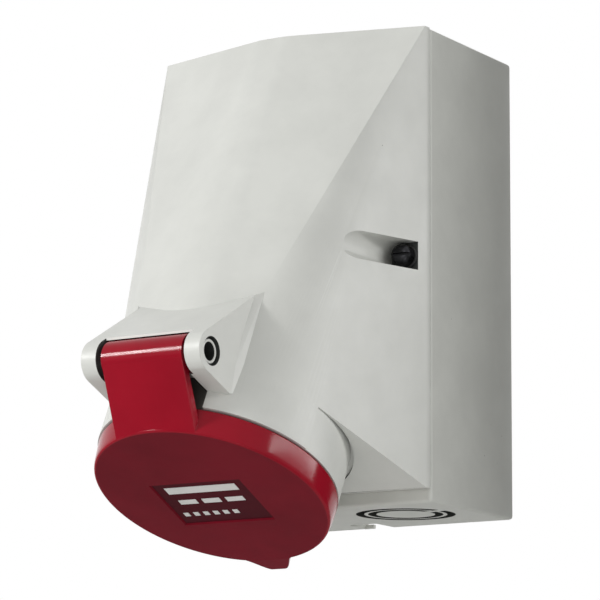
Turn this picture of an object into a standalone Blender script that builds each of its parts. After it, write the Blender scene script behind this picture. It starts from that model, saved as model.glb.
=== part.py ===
"""Industrial wall socket with a spring lid: the construction, in metres, +Z up.

The origin is the centre of the back face, which lies on the wall. +Y points into the wall, so the
front is at -Y. The socket's own frame is tilted: its +Z runs up the socket's axis into the hood, its
+Y leads to the keyway and its zero is the centre of the closed lid's face.
"""
import math

import bmesh
import bpy
from mathutils import Matrix, Vector

# Back box
BOX_WIDTH = 0.104
BOX_HEIGHT = 0.160
BOX_DEPTH = 0.057
BOX_WALL = 0.0026
BACK_WALL = 0.0030
BOX_EDGE_RADIUS = 0.0012
PILLAR_RADIUS = 0.0037
FIXING_INSET_X = 0.0140
FIXING_INSET_Z = 0.0180
FIXING_HOLE_RADIUS = 0.00325
FIXING_BOSS_RADIUS = 0.0060
FIXING_BOSS_HEIGHT = 0.0030
NOTCH_WIDTH = 0.0110
NOTCH_DEPTH = 0.0135
NOTCH_HEIGHT = 0.0040
SILL_DEPTH = 0.0040
TONGUE_WIDTH = 0.0026
TONGUE_LENGTH = 0.0080

# Cable entries, thinned rings in the top and bottom walls
ENTRY_INSET_X = 0.0240
ENTRY_OFFSET_Y = 0.0320
ENTRY_OUTER_RADIUS = 0.0168
ENTRY_INNER_RADIUS = 0.0116
ENTRY_GROOVE_WIDTH = 0.0021
ENTRY_GROOVE_DEPTH = 0.0020
ENTRY_WEB_WIDTH = 0.0030
ENTRY_WEB_ANGLE = -14.0

# Hood
HOOD_WALL = 0.0028
HOOD_SKIRT = 0.0030
HOOD_LIFT = 0.0046
HOOD_EDGE_RADIUS = 0.0009
RIDGE_HALF_WIDTH = 0.0050
RIDGE_FORWARD = 0.0155
NOSE_TOP = 0.0500
NOSE_STEP = 0.0005
SHADOW_GAP_GROWTH = 0.0004
SHADOW_GAP_SHIFT = 0.0016
SHADOW_GAP_DEPTH = 0.0018
CREASE_REACH = 0.0097
UNDERSIDE_RISE = 0.0251

# Socket collar, in the socket's frame
SOCKET_TILT = 25.9
SOCKET_REACH = 0.1085
SOCKET_HEIGHT = -0.0011
NOSE_RADIUS = 0.0404
SKIRT_TRIM = 0.6
COLLAR_BORE_RADIUS = 0.0330
COLLAR_TUBE_WALL = 0.0030
COLLAR_MOUTH = 0.0092
COLLAR_LEDGE_BASE = 0.0420
COLLAR_LEDGE_THICKNESS = 0.0050
KEYWAY_WIDTH = 0.0090
KEYWAY_DEPTH = 0.0022

# Side pockets and cover screws
SCREW_INSET_X = 0.0050
SCREW_RISE = 0.0010
POCKET_INSET_X = 0.0108
POCKET_HALF_HEIGHT = 0.00475
POCKET_CORNER = 0.0034
POCKET_WALL = 0.0020
POCKET_FLOOR = 0.0067
COVER_SCREW_RADIUS = 0.0017
COVER_SCREW_HEAD_RADIUS = 0.0036
COVER_SCREW_HEAD_HEIGHT = 0.0042
COVER_SCREW_LENGTH = 0.0330
DRIVE_SLOT_WIDTH = 0.0010
DRIVE_SLOT_DEPTH = 0.0014
WASHER_THICKNESS = 0.0010
WASHER_RADIUS = 0.0040

# Seal between the box and the hood
SEAL_GROOVE_INSET = 0.0007
SEAL_GROOVE_WIDTH = 0.0016
SEAL_GROOVE_DEPTH = 0.0020

# Hinge, in the socket's frame
HINGE_STANDOFF = 0.0088
HINGE_RISE = 0.0217
EAR_OUTER_X = 0.0226
EAR_INNER_X = 0.0168
EAR_NOSE_RADIUS = 0.0070
EAR_FOOT_REACH = 0.0106
EAR_FOOT_DROP = 0.0121
LUG_SLOPE = 28.8
BRIDGE_EDGE = 0.0013
PIN_RADIUS = 0.0039
PIN_BORE_RADIUS = 0.0030
PIN_BORE_DEPTH = 0.0080
PIN_RECESS = 0.0008
PIN_SINK_RADIUS = 0.0047
PIN_SINK_DEPTH = 0.0018
BARREL_RADIUS = 0.0062
BARREL_GAP = 0.0004
ARM_SIDE_GAP = 0.0005
ARM_RECESS_REACH = 0.0362

# Lid, in the socket's frame
LID_FACE_RADIUS = 0.0392
LID_RIM_RADIUS = 0.0400
LID_RIM_HEIGHT = 0.0087
LID_FACE_THICKNESS = 0.0024
LID_INNER_RADIUS = 0.0380
LID_EDGE_RADIUS = 0.0006
ARM_HALF_WIDTH = 0.0153
ARM_THICKNESS = 0.0026
ARM_FOOT_REACH = 0.0371
ARM_FOOT_RISE = 0.0008
SPRING_POCKET_HALF_WIDTH = 0.0060
SPRING_POCKET_LENGTH = 0.0130
SPRING_POCKET_SKIN = 0.0007
TAB_HALF_WIDTH = 0.0080
TAB_REACH = 0.0455
TAB_TIP_RADIUS = 0.0050
TAB_LOW = 0.0005
TAB_HIGH = 0.0050
PANEL_WIDTH = 0.0340
PANEL_LENGTH = 0.0248
PANEL_OFFSET = 0.0031
PANEL_DEPTH = 0.0005
GASKET_WIDTH = 0.0029

# Lid spring
SPRING_WIRE_RADIUS = 0.00030
SPRING_TURNS = 4.5
SPRING_PITCH = 0.0013
SPRING_LEG = 0.0105
SPRING_SHORT_LEG = 0.0018
SPRING_POINTS_PER_TURN = 12

# Contact carrier, in the socket's frame
CARRIER_RADIUS = 0.0270
CARRIER_FACE = 0.0130
CARRIER_FACE_CHAMFER = 0.0010
CARRIER_LIP_RADIUS = 0.0285
CARRIER_LIP_THICKNESS = 0.0016
CARRIER_SCREW_REACH = 0.03175
CARRIER_SCREW_RADIUS = 0.0011
CARRIER_SCREW_HEAD_RADIUS = 0.0021
CARRIER_SCREW_HEAD_HEIGHT = 0.0016
CARRIER_SCREW_DEPTH = 0.0040
CARRIER_SEAL_WIDTH = 0.0009
BACK_PLATE_RADIUS = 0.0335
BACK_PLATE_THICKNESS = 0.0030

# Contact sleeves and their screws
CONTACT_NAMES = ("pe", "l1", "l2", "l3", "n")
CONTACT_CIRCLE_RADIUS = 0.0176
PIN_HOLE_RADIUS = 0.00255
EARTH_PIN_HOLE_RADIUS = 0.00355
SLEEVE_WALL = 0.00125
SLEEVE_FRONT_SKIN = 0.0030
SLEEVE_COLLAR_HEIGHT = 0.0012
SLEEVE_COLLAR_STEP = 0.0009
SLEEVE_TAIL = 0.0105
PIN_HOLE_DEPTH = 0.0330
WIRE_BORE_RADIUS = 0.0019
WIRE_BORE_DEPTH = 0.0080
TERMINAL_SCREW_RADIUS = 0.0013
TERMINAL_SCREW_HEAD_RADIUS = 0.0022
TERMINAL_SCREW_HEAD_HEIGHT = 0.0016
TERMINAL_SCREW_RISE = 0.0056

# Clearances and smoothness
FIT_GAP = 0.0003
SCREW_GAP = 0.0003
OVERSHOOT = 0.0040
ROUND_SEGMENTS = 64
MEDIUM_SEGMENTS = 28
SMALL_SEGMENTS = 16
NOSE_STEPS = 28
SHARP_ANGLE = math.radians(28)

# Places worked out from the sizes above
SCREW_OFFSET_X = BOX_WIDTH / 2 - SCREW_INSET_X
POCKET_DEPTH_X = BOX_WIDTH / 2 - POCKET_INSET_X
ENTRY_OFFSET_X = BOX_WIDTH / 2 - ENTRY_INSET_X
FIXING_X = BOX_WIDTH / 2 - FIXING_INSET_X
FIXING_Z = BOX_HEIGHT / 2 - FIXING_INSET_Z
BOTTOM_Z = -BOX_HEIGHT / 2
TOP_Z = BOX_HEIGHT / 2
SEAM_Y = -BOX_DEPTH
COLLAR_RADIUS = NOSE_RADIUS - NOSE_STEP
HINGE_REACH = NOSE_RADIUS + HINGE_STANDOFF
HOOD_BACK_Y = SEAM_Y - FIT_GAP
HOOD_SKIRT_Y = HOOD_BACK_Y - HOOD_SKIRT
HOOD_BOTTOM_Z = BOTTOM_Z + HOOD_LIFT
SILL_TOP_Z = HOOD_BOTTOM_Z + HOOD_WALL
POCKET_FLOOR_Y = SEAM_Y - POCKET_FLOOR
LEDGE_TOP = COLLAR_LEDGE_BASE + COLLAR_LEDGE_THICKNESS
LIP_BASE = LEDGE_TOP + FIT_GAP
LIP_TOP = LIP_BASE + CARRIER_LIP_THICKNESS
BACK_PLATE_BASE = LIP_TOP + FIT_GAP
BACK_PLATE_TOP = BACK_PLATE_BASE + BACK_PLATE_THICKNESS
SLEEVE_TOP = BACK_PLATE_TOP + SLEEVE_TAIL
SLEEVE_BASE = CARRIER_FACE + SLEEVE_FRONT_SKIN + FIT_GAP
SOCKET_FRAME = (Matrix.Translation((0, -SOCKET_REACH, BOTTOM_Z + SOCKET_HEIGHT))
                @ Matrix.Rotation(-math.radians(SOCKET_TILT), 4, "X"))
HINGE_POINT = Vector((0, -HINGE_REACH, HINGE_RISE))
HINGE_FRAME = SOCKET_FRAME @ Matrix.Translation(HINGE_POINT)
HINGE_WORLD = SOCKET_FRAME @ HINGE_POINT
ARM_RUN = Vector((HINGE_REACH - ARM_FOOT_REACH, HINGE_RISE - ARM_FOOT_RISE))
ARM_LEAN = math.atan2(ARM_RUN.x, ARM_RUN.y) + math.asin(BARREL_RADIUS / ARM_RUN.length)
ARM_LENGTH = math.sqrt(ARM_RUN.length_squared - BARREL_RADIUS ** 2)

parts = None
cutters = None


# Scene and helper functions

def start_scene():
    """Empty the scene and make one collection for the parts and one for the cutters."""
    global parts, cutters
    for old in list(bpy.data.objects):
        bpy.data.objects.remove(old, do_unlink=True)
    parts = bpy.data.collections.new("industrial_wall_socket")
    cutters = bpy.data.collections.new("cutters")
    for collection in (parts, cutters):
        bpy.context.scene.collection.children.link(collection)


def material(name, colour, roughness, metallic=0.0):
    """A plain Principled material."""
    made = bpy.data.materials.new(name)
    made.use_nodes = True
    shader = made.node_tree.nodes["Principled BSDF"]
    shader.inputs["Base Color"].default_value = (*colour, 1.0)
    shader.inputs["Roughness"].default_value = roughness
    shader.inputs["Metallic"].default_value = metallic
    return made


def add_object(name, mesh, look=None):
    """Link a mesh as a part if it has a material, and as a hidden cutter if it has none."""
    made = bpy.data.objects.new(name, mesh)
    if look is None:
        cutters.objects.link(made)
        made.hide_render = True
        made.display_type = "WIRE"
    else:
        mesh.materials.append(look)
        parts.objects.link(made)
    return made


def mesh_from(name, shape):
    """Turn a bmesh into a mesh."""
    mesh = bpy.data.meshes.new(name)
    shape.to_mesh(mesh)
    shape.free()
    return mesh


def block(name, low, high, look=None):
    """A box between two corners."""
    shape = bmesh.new()
    bmesh.ops.create_cube(shape, size=1.0)
    low, high = Vector(low), Vector(high)
    size = high - low
    bmesh.ops.scale(shape, vec=size, verts=shape.verts)
    bmesh.ops.translate(shape, vec=(low + high) / 2, verts=shape.verts)
    return add_object(name, mesh_from(name, shape), look)


def rod(name, start, end, radius, segments=MEDIUM_SEGMENTS, look=None):
    """A cylinder between two points."""
    start, end = Vector(start), Vector(end)
    run = end - start
    shape = bmesh.new()
    bmesh.ops.create_cone(shape, cap_ends=True, segments=segments, radius1=radius, radius2=radius,
                          depth=run.length)
    turn = run.to_track_quat("Z", "X").to_matrix().to_4x4()
    shape.transform(Matrix.Translation((start + end) / 2) @ turn)
    return add_object(name, mesh_from(name, shape), look)


def hull(name, points, look=None):
    """The convex body round a set of points."""
    shape = bmesh.new()
    for point in points:
        shape.verts.new(point)
    made = bmesh.ops.convex_hull(shape, input=shape.verts)
    inside = list(set(made["geom_interior"] + made["geom_unused"]))
    bmesh.ops.delete(shape, geom=[item for item in inside if isinstance(item, bmesh.types.BMVert)],
                     context="VERTS")
    bmesh.ops.dissolve_limit(shape, angle_limit=math.radians(0.05), verts=shape.verts,
                             edges=shape.edges)
    bmesh.ops.recalc_face_normals(shape, faces=shape.faces)
    return add_object(name, mesh_from(name, shape), look)


def extruded(name, outline, half_width, look=None):
    """A flat outline of (y, z) points, drawn out along X to both sides."""
    shape = bmesh.new()
    face = shape.faces.new([shape.verts.new((-half_width, y, z)) for y, z in outline])
    grown = bmesh.ops.extrude_face_region(shape, geom=[face])["geom"]
    moved = [item for item in grown if isinstance(item, bmesh.types.BMVert)]
    bmesh.ops.translate(shape, vec=(2 * half_width, 0, 0), verts=moved)
    bmesh.ops.recalc_face_normals(shape, faces=shape.faces)
    return add_object(name, mesh_from(name, shape), look)


def turned(name, profile, look=None, closed=False, segments=ROUND_SEGMENTS):
    """A profile of (radius, height) pairs turned round Z; its outer side runs top to bottom."""
    mesh = bpy.data.meshes.new(name)
    edges = [(i, i + 1) for i in range(len(profile) - 1)]
    if closed:
        edges.append((len(profile) - 1, 0))
    mesh.from_pydata([(radius, 0, height) for radius, height in profile], edges, [])
    made = add_object(name, mesh, look)
    screw = made.modifiers.new("turn", "SCREW")
    screw.axis = "Z"
    screw.steps = segments
    screw.render_steps = segments
    screw.use_merge_vertices = True
    screw.merge_threshold = 0.00001
    screw.use_smooth_shade = True
    return made


def ring(name, inner, outer, low, high, look=None, segments=ROUND_SEGMENTS):
    """A turned ring of square section."""
    profile = [(inner, high), (outer, high), (outer, low), (inner, low)]
    return turned(name, profile, look, closed=True, segments=segments)


def combine(target, tool, operation="DIFFERENCE"):
    """Cut a tool from a body, or join it to the body."""
    modifier = target.modifiers.new(tool.name, "BOOLEAN")
    modifier.operation = operation
    modifier.solver = "EXACT"
    modifier.object = tool


def round_edges(target, width, segments=2, angle=35.0):
    """Round the edges that are sharper than an angle."""
    bevel = target.modifiers.new("edges", "BEVEL")
    bevel.width = width
    bevel.segments = segments
    bevel.limit_method = "ANGLE"
    bevel.angle_limit = math.radians(angle)


def shade_round(target):
    """Shade smooth across the shallow angles of a faceted round shape."""
    target.data.shade_smooth()
    target.data.set_sharp_from_angle(angle=SHARP_ANGLE)


def set_in(made, frame):
    """Place an object that was drawn in another frame."""
    made.matrix_world = frame
    return made


def hang_on_hinge(moving):
    """Parent the lid's pieces to an empty on the hinge's axis, where they stay as drawn."""
    hinge = bpy.data.objects.new("lid_hinge", None)
    parts.objects.link(hinge)
    set_in(hinge, HINGE_FRAME)
    for piece in moving:
        piece.parent = hinge
        piece.matrix_parent_inverse = HINGE_FRAME.inverted()


def at_socket(x, y, z):
    """A point of the socket's frame, in world coordinates."""
    return SOCKET_FRAME @ Vector((x, y, z))


def circle_point(radius, degrees):
    """A point on a circle in the socket's frame, counted from +X towards the hinge."""
    angle = math.radians(degrees)
    return radius * math.cos(angle), -radius * math.sin(angle)


def both_sides():
    """The names and signs of the right and left sides."""
    return (("right", 1), ("left", -1))


# Back box

def back_box(look):
    """Open moulded box: a sill under the hood, screw pillars, wall fixings, cable entries and a notch."""
    half = BOX_WIDTH / 2
    box = block("back_box", (-half, SEAM_Y, BOTTOM_Z), (half, 0, TOP_Z), look)
    round_edges(box, BOX_EDGE_RADIUS)
    inner = block("box_inside", (-half + BOX_WALL, SEAM_Y - OVERSHOOT, BOTTOM_Z + BOX_WALL),
                  (half - BOX_WALL, -BACK_WALL, TOP_Z - BOX_WALL))
    combine(box, inner)
    sill = block("sill", (-half + BOX_WALL / 2, SEAM_Y, BOTTOM_Z + BOX_WALL / 2),
                 (half - BOX_WALL / 2, SEAM_Y + SILL_DEPTH, SILL_TOP_Z))
    combine(box, sill, "UNION")
    for side, sign in both_sides():
        add_pillar(box, side, sign)
    add_fixings(box)
    add_notch(box)
    for wall, height, up in (("bottom", BOTTOM_Z, 1), ("top", TOP_Z, -1)):
        for side, sign in both_sides():
            add_cable_entry(box, wall + "_" + side, sign, height, up)
    shade_round(box)
    return box


def add_pillar(box, side, sign):
    """A pillar that takes a cover screw."""
    x = sign * SCREW_OFFSET_X
    pillar = rod("pillar_" + side, (x, -BACK_WALL / 2, SCREW_RISE), (x, SEAM_Y, SCREW_RISE), PILLAR_RADIUS)
    combine(box, pillar, "UNION")
    screw_end = HOOD_BACK_Y + COVER_SCREW_LENGTH
    bore = rod("pillar_bore_" + side, (x, SEAM_Y - OVERSHOOT, SCREW_RISE), (x, screw_end, SCREW_RISE),
               COVER_SCREW_RADIUS + SCREW_GAP, SMALL_SEGMENTS)
    combine(box, bore)


def add_fixings(box):
    """Four wall fixing holes in raised bosses."""
    for i, x in enumerate((-FIXING_X, FIXING_X)):
        for j, z in enumerate((-FIXING_Z, FIXING_Z)):
            inside = -BACK_WALL - FIXING_BOSS_HEIGHT
            boss = rod(f"fixing_boss_{i}{j}", (x, -BACK_WALL / 2, z), (x, inside, z), FIXING_BOSS_RADIUS)
            combine(box, boss, "UNION")
            hole = rod(f"fixing_hole_{i}{j}", (x, OVERSHOOT, z), (x, inside - OVERSHOOT, z),
                       FIXING_HOLE_RADIUS, SMALL_SEGMENTS)
            combine(box, hole)


def add_notch(box):
    """The cable notch in the bottom back edge, with its roof inside and a small tongue in it."""
    half = NOTCH_WIDTH / 2
    roof = block("notch_roof", (-half - BOX_WALL, -NOTCH_DEPTH - BOX_WALL, BOTTOM_Z + BOX_WALL / 2),
                 (half + BOX_WALL, -BACK_WALL / 2, BOTTOM_Z + NOTCH_HEIGHT + BOX_WALL))
    combine(box, roof, "UNION")
    notch = block("notch", (-half, -NOTCH_DEPTH, BOTTOM_Z - OVERSHOOT),
                  (half, OVERSHOOT, BOTTOM_Z + NOTCH_HEIGHT))
    combine(box, notch)
    tongue = block("notch_tongue", (-half - BOX_WALL / 2, -TONGUE_LENGTH, BOTTOM_Z),
                   (-half + TONGUE_WIDTH, -TONGUE_LENGTH / 4, BOTTOM_Z + BOX_WALL / 2))
    combine(box, tongue, "UNION")


def add_cable_entry(box, name, sign, height, up):
    """Two thinned rings, one in the other, each crossed by a web."""
    centre = Matrix.Translation((sign * ENTRY_OFFSET_X, -ENTRY_OFFSET_Y, height))
    for size, outer in (("outer", ENTRY_OUTER_RADIUS), ("inner", ENTRY_INNER_RADIUS)):
        low, high = sorted((-up * OVERSHOOT, up * ENTRY_GROOVE_DEPTH))
        groove = ring(f"entry_{size}_{name}", outer - ENTRY_GROOVE_WIDTH, outer, low, high,
                      segments=MEDIUM_SEGMENTS)
        web = block(f"entry_web_{size}_{name}", (0, -ENTRY_WEB_WIDTH / 2, -2 * OVERSHOOT),
                    (2 * outer, ENTRY_WEB_WIDTH / 2, 2 * OVERSHOOT))
        angle = ENTRY_WEB_ANGLE if sign > 0 else 180.0 - ENTRY_WEB_ANGLE
        set_in(web, centre @ Matrix.Rotation(math.radians(angle), 4, "Z"))
        set_in(groove, centre)
        combine(groove, web)
        combine(box, groove)


# Hood

def underside_height(y):
    """Height of the hood's flat underside in the socket's frame, at a distance y from its axis."""
    back = SOCKET_FRAME.inverted() @ Vector((0, HOOD_SKIRT_Y, HOOD_BOTTOM_Z))
    slope = (back.z - UNDERSIDE_RISE) / (back.y + CREASE_REACH)
    return UNDERSIDE_RISE + slope * (y + CREASE_REACH)


def nose_arc(radius, height_at, trim=0.0):
    """Points of the hood's round nose, in world coordinates, from crease to crease less a trim."""
    first = math.degrees(math.asin(CREASE_REACH / NOSE_RADIUS)) + trim
    points = []
    for step in range(NOSE_STEPS + 1):
        x, y = circle_point(radius, first + (180 - 2 * first) * step / NOSE_STEPS)
        points.append(at_socket(x, y, height_at(y)))
    return points


def hood_shape_points(inset):
    """Corners of the faceted hood: its back rectangle, the short ridge on top and the round nose."""
    half = BOX_WIDTH / 2 - inset
    low, high = HOOD_BOTTOM_Z + inset, TOP_Z - inset
    back = HOOD_BACK_Y + (3 * OVERSHOOT if inset else 0)
    points = [(x, y, z) for x in (-half, half) for y in (back, HOOD_SKIRT_Y) for z in (low, high)]
    ridge_y = HOOD_BACK_Y - RIDGE_FORWARD + inset
    points += [(x, ridge_y, high) for x in (-RIDGE_HALF_WIDTH, RIDGE_HALF_WIDTH)]
    points += nose_arc(NOSE_RADIUS - inset, lambda y: underside_height(y) + inset)
    points += nose_arc(NOSE_RADIUS - inset, lambda y: NOSE_TOP)
    return points


def nose_skirt():
    """The nose's skin in front of the collar, a step proud of it; its end is cut flat later."""
    points = nose_arc(NOSE_RADIUS, lambda y: COLLAR_MOUTH / 2, SKIRT_TRIM)
    points += nose_arc(NOSE_RADIUS, lambda y: NOSE_TOP - OVERSHOOT, SKIRT_TRIM)
    return hull("nose_skirt", points)


def shadow_gap():
    """A round recess in the underside; the collar leaves a gap of it that widens towards the back."""
    base = UNDERSIDE_RISE
    radius = COLLAR_RADIUS + SHADOW_GAP_GROWTH
    return rod("shadow_gap", at_socket(0, SHADOW_GAP_SHIFT, base - OVERSHOOT),
               at_socket(0, SHADOW_GAP_SHIFT, base + SHADOW_GAP_DEPTH), radius, ROUND_SEGMENTS)


def hinge_lug():
    """The wedge on the hood's front that carries the hinge; its slots are cut later."""
    slope = math.radians(LUG_SLOPE)
    lean = Vector((0, math.cos(slope), math.sin(slope)))
    up = Vector((0, -math.sin(slope), math.cos(slope)))
    axis = Vector((0, HINGE_WORLD.y, HINGE_WORLD.z))
    foot = axis + Vector((0, EAR_FOOT_REACH, -EAR_FOOT_DROP))
    outline = [axis + EAR_NOSE_RADIUS * up + lean * 2 * HINGE_REACH, foot,
               foot + Vector((0, HINGE_REACH, EAR_FOOT_DROP))]
    for step in range(SMALL_SEGMENTS):
        angle = 2 * math.pi * step / SMALL_SEGMENTS + slope
        outline.append(axis + EAR_NOSE_RADIUS * Vector((0, math.cos(angle), math.sin(angle))))
    return hull("hinge_lug", [point + Vector((x, 0, 0)) for point in outline
                              for x in (-EAR_OUTER_X, EAR_OUTER_X)])


def pocket_shape(name, side_sign, wall, y_floor, y_mouth):
    """A channel along Y with a rounded inner side, open at the hood's side and larger by a wall."""
    corner = POCKET_CORNER + wall
    straight = POCKET_HALF_HEIGHT - POCKET_CORNER
    outline = [(BOX_WIDTH, POCKET_HALF_HEIGHT + wall)]
    for step in range(SMALL_SEGMENTS // 2 + 1):
        angle = math.pi * step / SMALL_SEGMENTS
        outline.append((POCKET_DEPTH_X + POCKET_CORNER - corner * math.sin(angle),
                        straight + corner * math.cos(angle)))
    points = []
    for y in (y_floor, y_mouth):
        for x, z in outline:
            points.append((side_sign * x, y, SCREW_RISE + z))
            points.append((side_sign * x, y, SCREW_RISE - z))
    return hull(name, points)


def hood_inside():
    """The room inside the hood, which leaves the walls of the two screw pockets standing."""
    room = hull("hood_inside", hood_shape_points(HOOD_WALL))
    for side, sign in both_sides():
        wall = pocket_shape("pocket_wall_" + side, sign, POCKET_WALL, HOOD_BACK_Y + 4 * OVERSHOOT,
                            -2 * SOCKET_REACH)
        combine(room, wall)
    return room


def hood(look):
    """One moulding: faceted cover, socket collar, hinge ears and screw pockets."""
    cover = hull("hood", hood_shape_points(0.0), look)
    round_edges(cover, HOOD_EDGE_RADIUS)
    combine(cover, shadow_gap())
    combine(cover, nose_skirt(), "UNION")
    collar = rod("collar", at_socket(0, 0, COLLAR_MOUTH / 3), at_socket(0, 0, NOSE_TOP - OVERSHOOT),
                 COLLAR_RADIUS, ROUND_SEGMENTS)
    combine(cover, collar, "UNION")
    mouth = rod("mouth", at_socket(0, 0, -OVERSHOOT), at_socket(0, 0, COLLAR_MOUTH), 2 * NOSE_RADIUS)
    combine(cover, mouth)
    combine(cover, hinge_lug(), "UNION")
    combine(cover, hood_inside())
    tube = rod("collar_tube", at_socket(0, 0, COLLAR_MOUTH + OVERSHOOT), at_socket(0, 0, LEDGE_TOP),
               COLLAR_BORE_RADIUS + COLLAR_TUBE_WALL, ROUND_SEGMENTS)
    combine(cover, tube, "UNION")
    cut_collar(cover)
    cut_hinge(cover)
    cut_pockets(cover)
    cut_seal_groove(cover)
    shade_round(cover)
    return cover


def cut_collar(cover):
    """Bore of the socket, the opening in its ledge, the keyway and the carrier's screw holes."""
    bore = rod("collar_bore", at_socket(0, 0, -OVERSHOOT), at_socket(0, 0, COLLAR_LEDGE_BASE),
               COLLAR_BORE_RADIUS, ROUND_SEGMENTS)
    combine(cover, bore)
    opening = rod("ledge_opening", at_socket(0, 0, COLLAR_LEDGE_BASE - OVERSHOOT),
                  at_socket(0, 0, LEDGE_TOP + OVERSHOOT), CARRIER_RADIUS + FIT_GAP, ROUND_SEGMENTS)
    combine(cover, opening)
    keyway = block("keyway", (-KEYWAY_WIDTH / 2, COLLAR_BORE_RADIUS / 2, -OVERSHOOT),
                   (KEYWAY_WIDTH / 2, COLLAR_BORE_RADIUS + KEYWAY_DEPTH, COLLAR_LEDGE_BASE))
    combine(cover, set_in(keyway, SOCKET_FRAME))
    for side, sign in both_sides():
        x = sign * CARRIER_SCREW_REACH
        hole = rod("carrier_screw_hole_" + side, at_socket(x, 0, LEDGE_TOP + OVERSHOOT),
                   at_socket(x, 0, LEDGE_TOP - CARRIER_SCREW_DEPTH),
                   CARRIER_SCREW_RADIUS + SCREW_GAP, SMALL_SEGMENTS)
        combine(cover, hole)


def cut_hinge(cover):
    """The pin's hole with its sunk ends, and room for the lid's barrel and arm between the ears."""
    reach = Vector((EAR_OUTER_X + OVERSHOOT, 0, 0))
    hole = rod("pin_hole", HINGE_WORLD - reach, HINGE_WORLD + reach, PIN_RADIUS + FIT_GAP, MEDIUM_SEGMENTS)
    combine(cover, hole)
    for side, sign in both_sides():
        sink = rod("pin_sink_" + side, HINGE_WORLD + sign * Vector((EAR_OUTER_X - PIN_SINK_DEPTH, 0, 0)),
                   HINGE_WORLD + sign * reach, PIN_SINK_RADIUS, MEDIUM_SEGMENTS)
        combine(cover, sink)
    run = EAR_INNER_X
    barrel = rod("barrel_room", HINGE_WORLD - Vector((run, 0, 0)), HINGE_WORLD + Vector((run, 0, 0)),
                 BARREL_RADIUS + BARREL_GAP, MEDIUM_SEGMENTS)
    combine(cover, barrel)
    half = ARM_HALF_WIDTH + ARM_SIDE_GAP
    arm = block("arm_room", (-half, -2 * HINGE_REACH, -OVERSHOOT), (half, -ARM_RECESS_REACH, HINGE_RISE))
    combine(cover, set_in(arm, SOCKET_FRAME))
    front = HINGE_WORLD.y - BRIDGE_EDGE
    swing = block("swing_room", (-run, front - HINGE_REACH, HINGE_WORLD.z - EAR_NOSE_RADIUS),
                  (run, front, HINGE_WORLD.z + 3 * EAR_NOSE_RADIUS))
    combine(cover, swing)


def cut_pockets(cover):
    """The two side pockets and the holes of the cover screws in their floors."""
    for side, sign in both_sides():
        pocket = pocket_shape("pocket_" + side, sign, 0.0, POCKET_FLOOR_Y, -2 * SOCKET_REACH)
        combine(cover, pocket)
        x = sign * SCREW_OFFSET_X
        hole = rod("cover_screw_hole_" + side, (x, POCKET_FLOOR_Y - OVERSHOOT, SCREW_RISE),
                   (x, HOOD_BACK_Y + OVERSHOOT, SCREW_RISE), COVER_SCREW_RADIUS + SCREW_GAP,
                   SMALL_SEGMENTS)
        combine(cover, hole)


def frame_ring(name, outer_inset, width, y_low, y_high, look=None):
    """A rectangular frame that follows the hood's back edge at an inset."""
    half = BOX_WIDTH / 2 - outer_inset
    low, high = HOOD_BOTTOM_Z + outer_inset, TOP_Z - outer_inset
    frame = block(name, (-half, y_low, low), (half, y_high, high), look)
    hole = block(name + "_hole", (-half + width, y_low - OVERSHOOT, low + width),
                 (half - width, y_high + OVERSHOOT, high - width))
    combine(frame, hole)
    return frame


def cut_seal_groove(cover):
    """The groove for the box seal in the hood's back edge."""
    groove = frame_ring("seal_groove", SEAL_GROOVE_INSET, SEAL_GROOVE_WIDTH,
                        HOOD_BACK_Y - SEAL_GROOVE_DEPTH, HOOD_BACK_Y + OVERSHOOT)
    combine(cover, groove)


def box_seal(look):
    """Rubber frame in the hood's groove."""
    inset = SEAL_GROOVE_INSET + FIT_GAP
    return frame_ring("box_seal", inset, SEAL_GROOVE_WIDTH - 2 * FIT_GAP,
                      HOOD_BACK_Y - SEAL_GROOVE_DEPTH + FIT_GAP, HOOD_BACK_Y, look)


# Cover screws

def cover_screw(side, sign, look):
    """A long screw with a slotted round head, from the pocket's floor into the box's pillar."""
    head_base = WASHER_THICKNESS + 2 * FIT_GAP
    head_top = head_base + COVER_SCREW_HEAD_HEIGHT
    tip = -(POCKET_FLOOR - FIT_GAP) - COVER_SCREW_LENGTH + FIT_GAP
    edge = COVER_SCREW_HEAD_RADIUS / 6
    profile = [(0, head_top), (COVER_SCREW_HEAD_RADIUS - edge, head_top),
               (COVER_SCREW_HEAD_RADIUS, head_top - edge), (COVER_SCREW_HEAD_RADIUS, head_base),
               (COVER_SCREW_RADIUS, head_base), (COVER_SCREW_RADIUS, tip + COVER_SCREW_RADIUS), (0, tip)]
    screw = turned("cover_screw_" + side, profile, look, segments=SMALL_SEGMENTS)
    place = Matrix.Translation((sign * SCREW_OFFSET_X, POCKET_FLOOR_Y, SCREW_RISE))
    place = place @ Matrix.Rotation(math.pi / 2, 4, "X")
    set_in(screw, place)
    slot = block("drive_slot_" + side, (-2 * COVER_SCREW_HEAD_RADIUS, -DRIVE_SLOT_WIDTH / 2,
                                        head_top - DRIVE_SLOT_DEPTH),
                 (2 * COVER_SCREW_HEAD_RADIUS, DRIVE_SLOT_WIDTH / 2, head_top + OVERSHOOT))
    combine(screw, set_in(slot, place))
    return screw


def cover_washer(side, sign, look):
    """Sealing washer between the screw's head and the pocket's floor."""
    washer = ring("cover_washer_" + side, COVER_SCREW_RADIUS + FIT_GAP, WASHER_RADIUS,
                  FIT_GAP, FIT_GAP + WASHER_THICKNESS, look, SMALL_SEGMENTS)
    place = Matrix.Translation((sign * SCREW_OFFSET_X, POCKET_FLOOR_Y, SCREW_RISE))
    return set_in(washer, place @ Matrix.Rotation(math.pi / 2, 4, "X"))


# Lid and hinge

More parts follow.
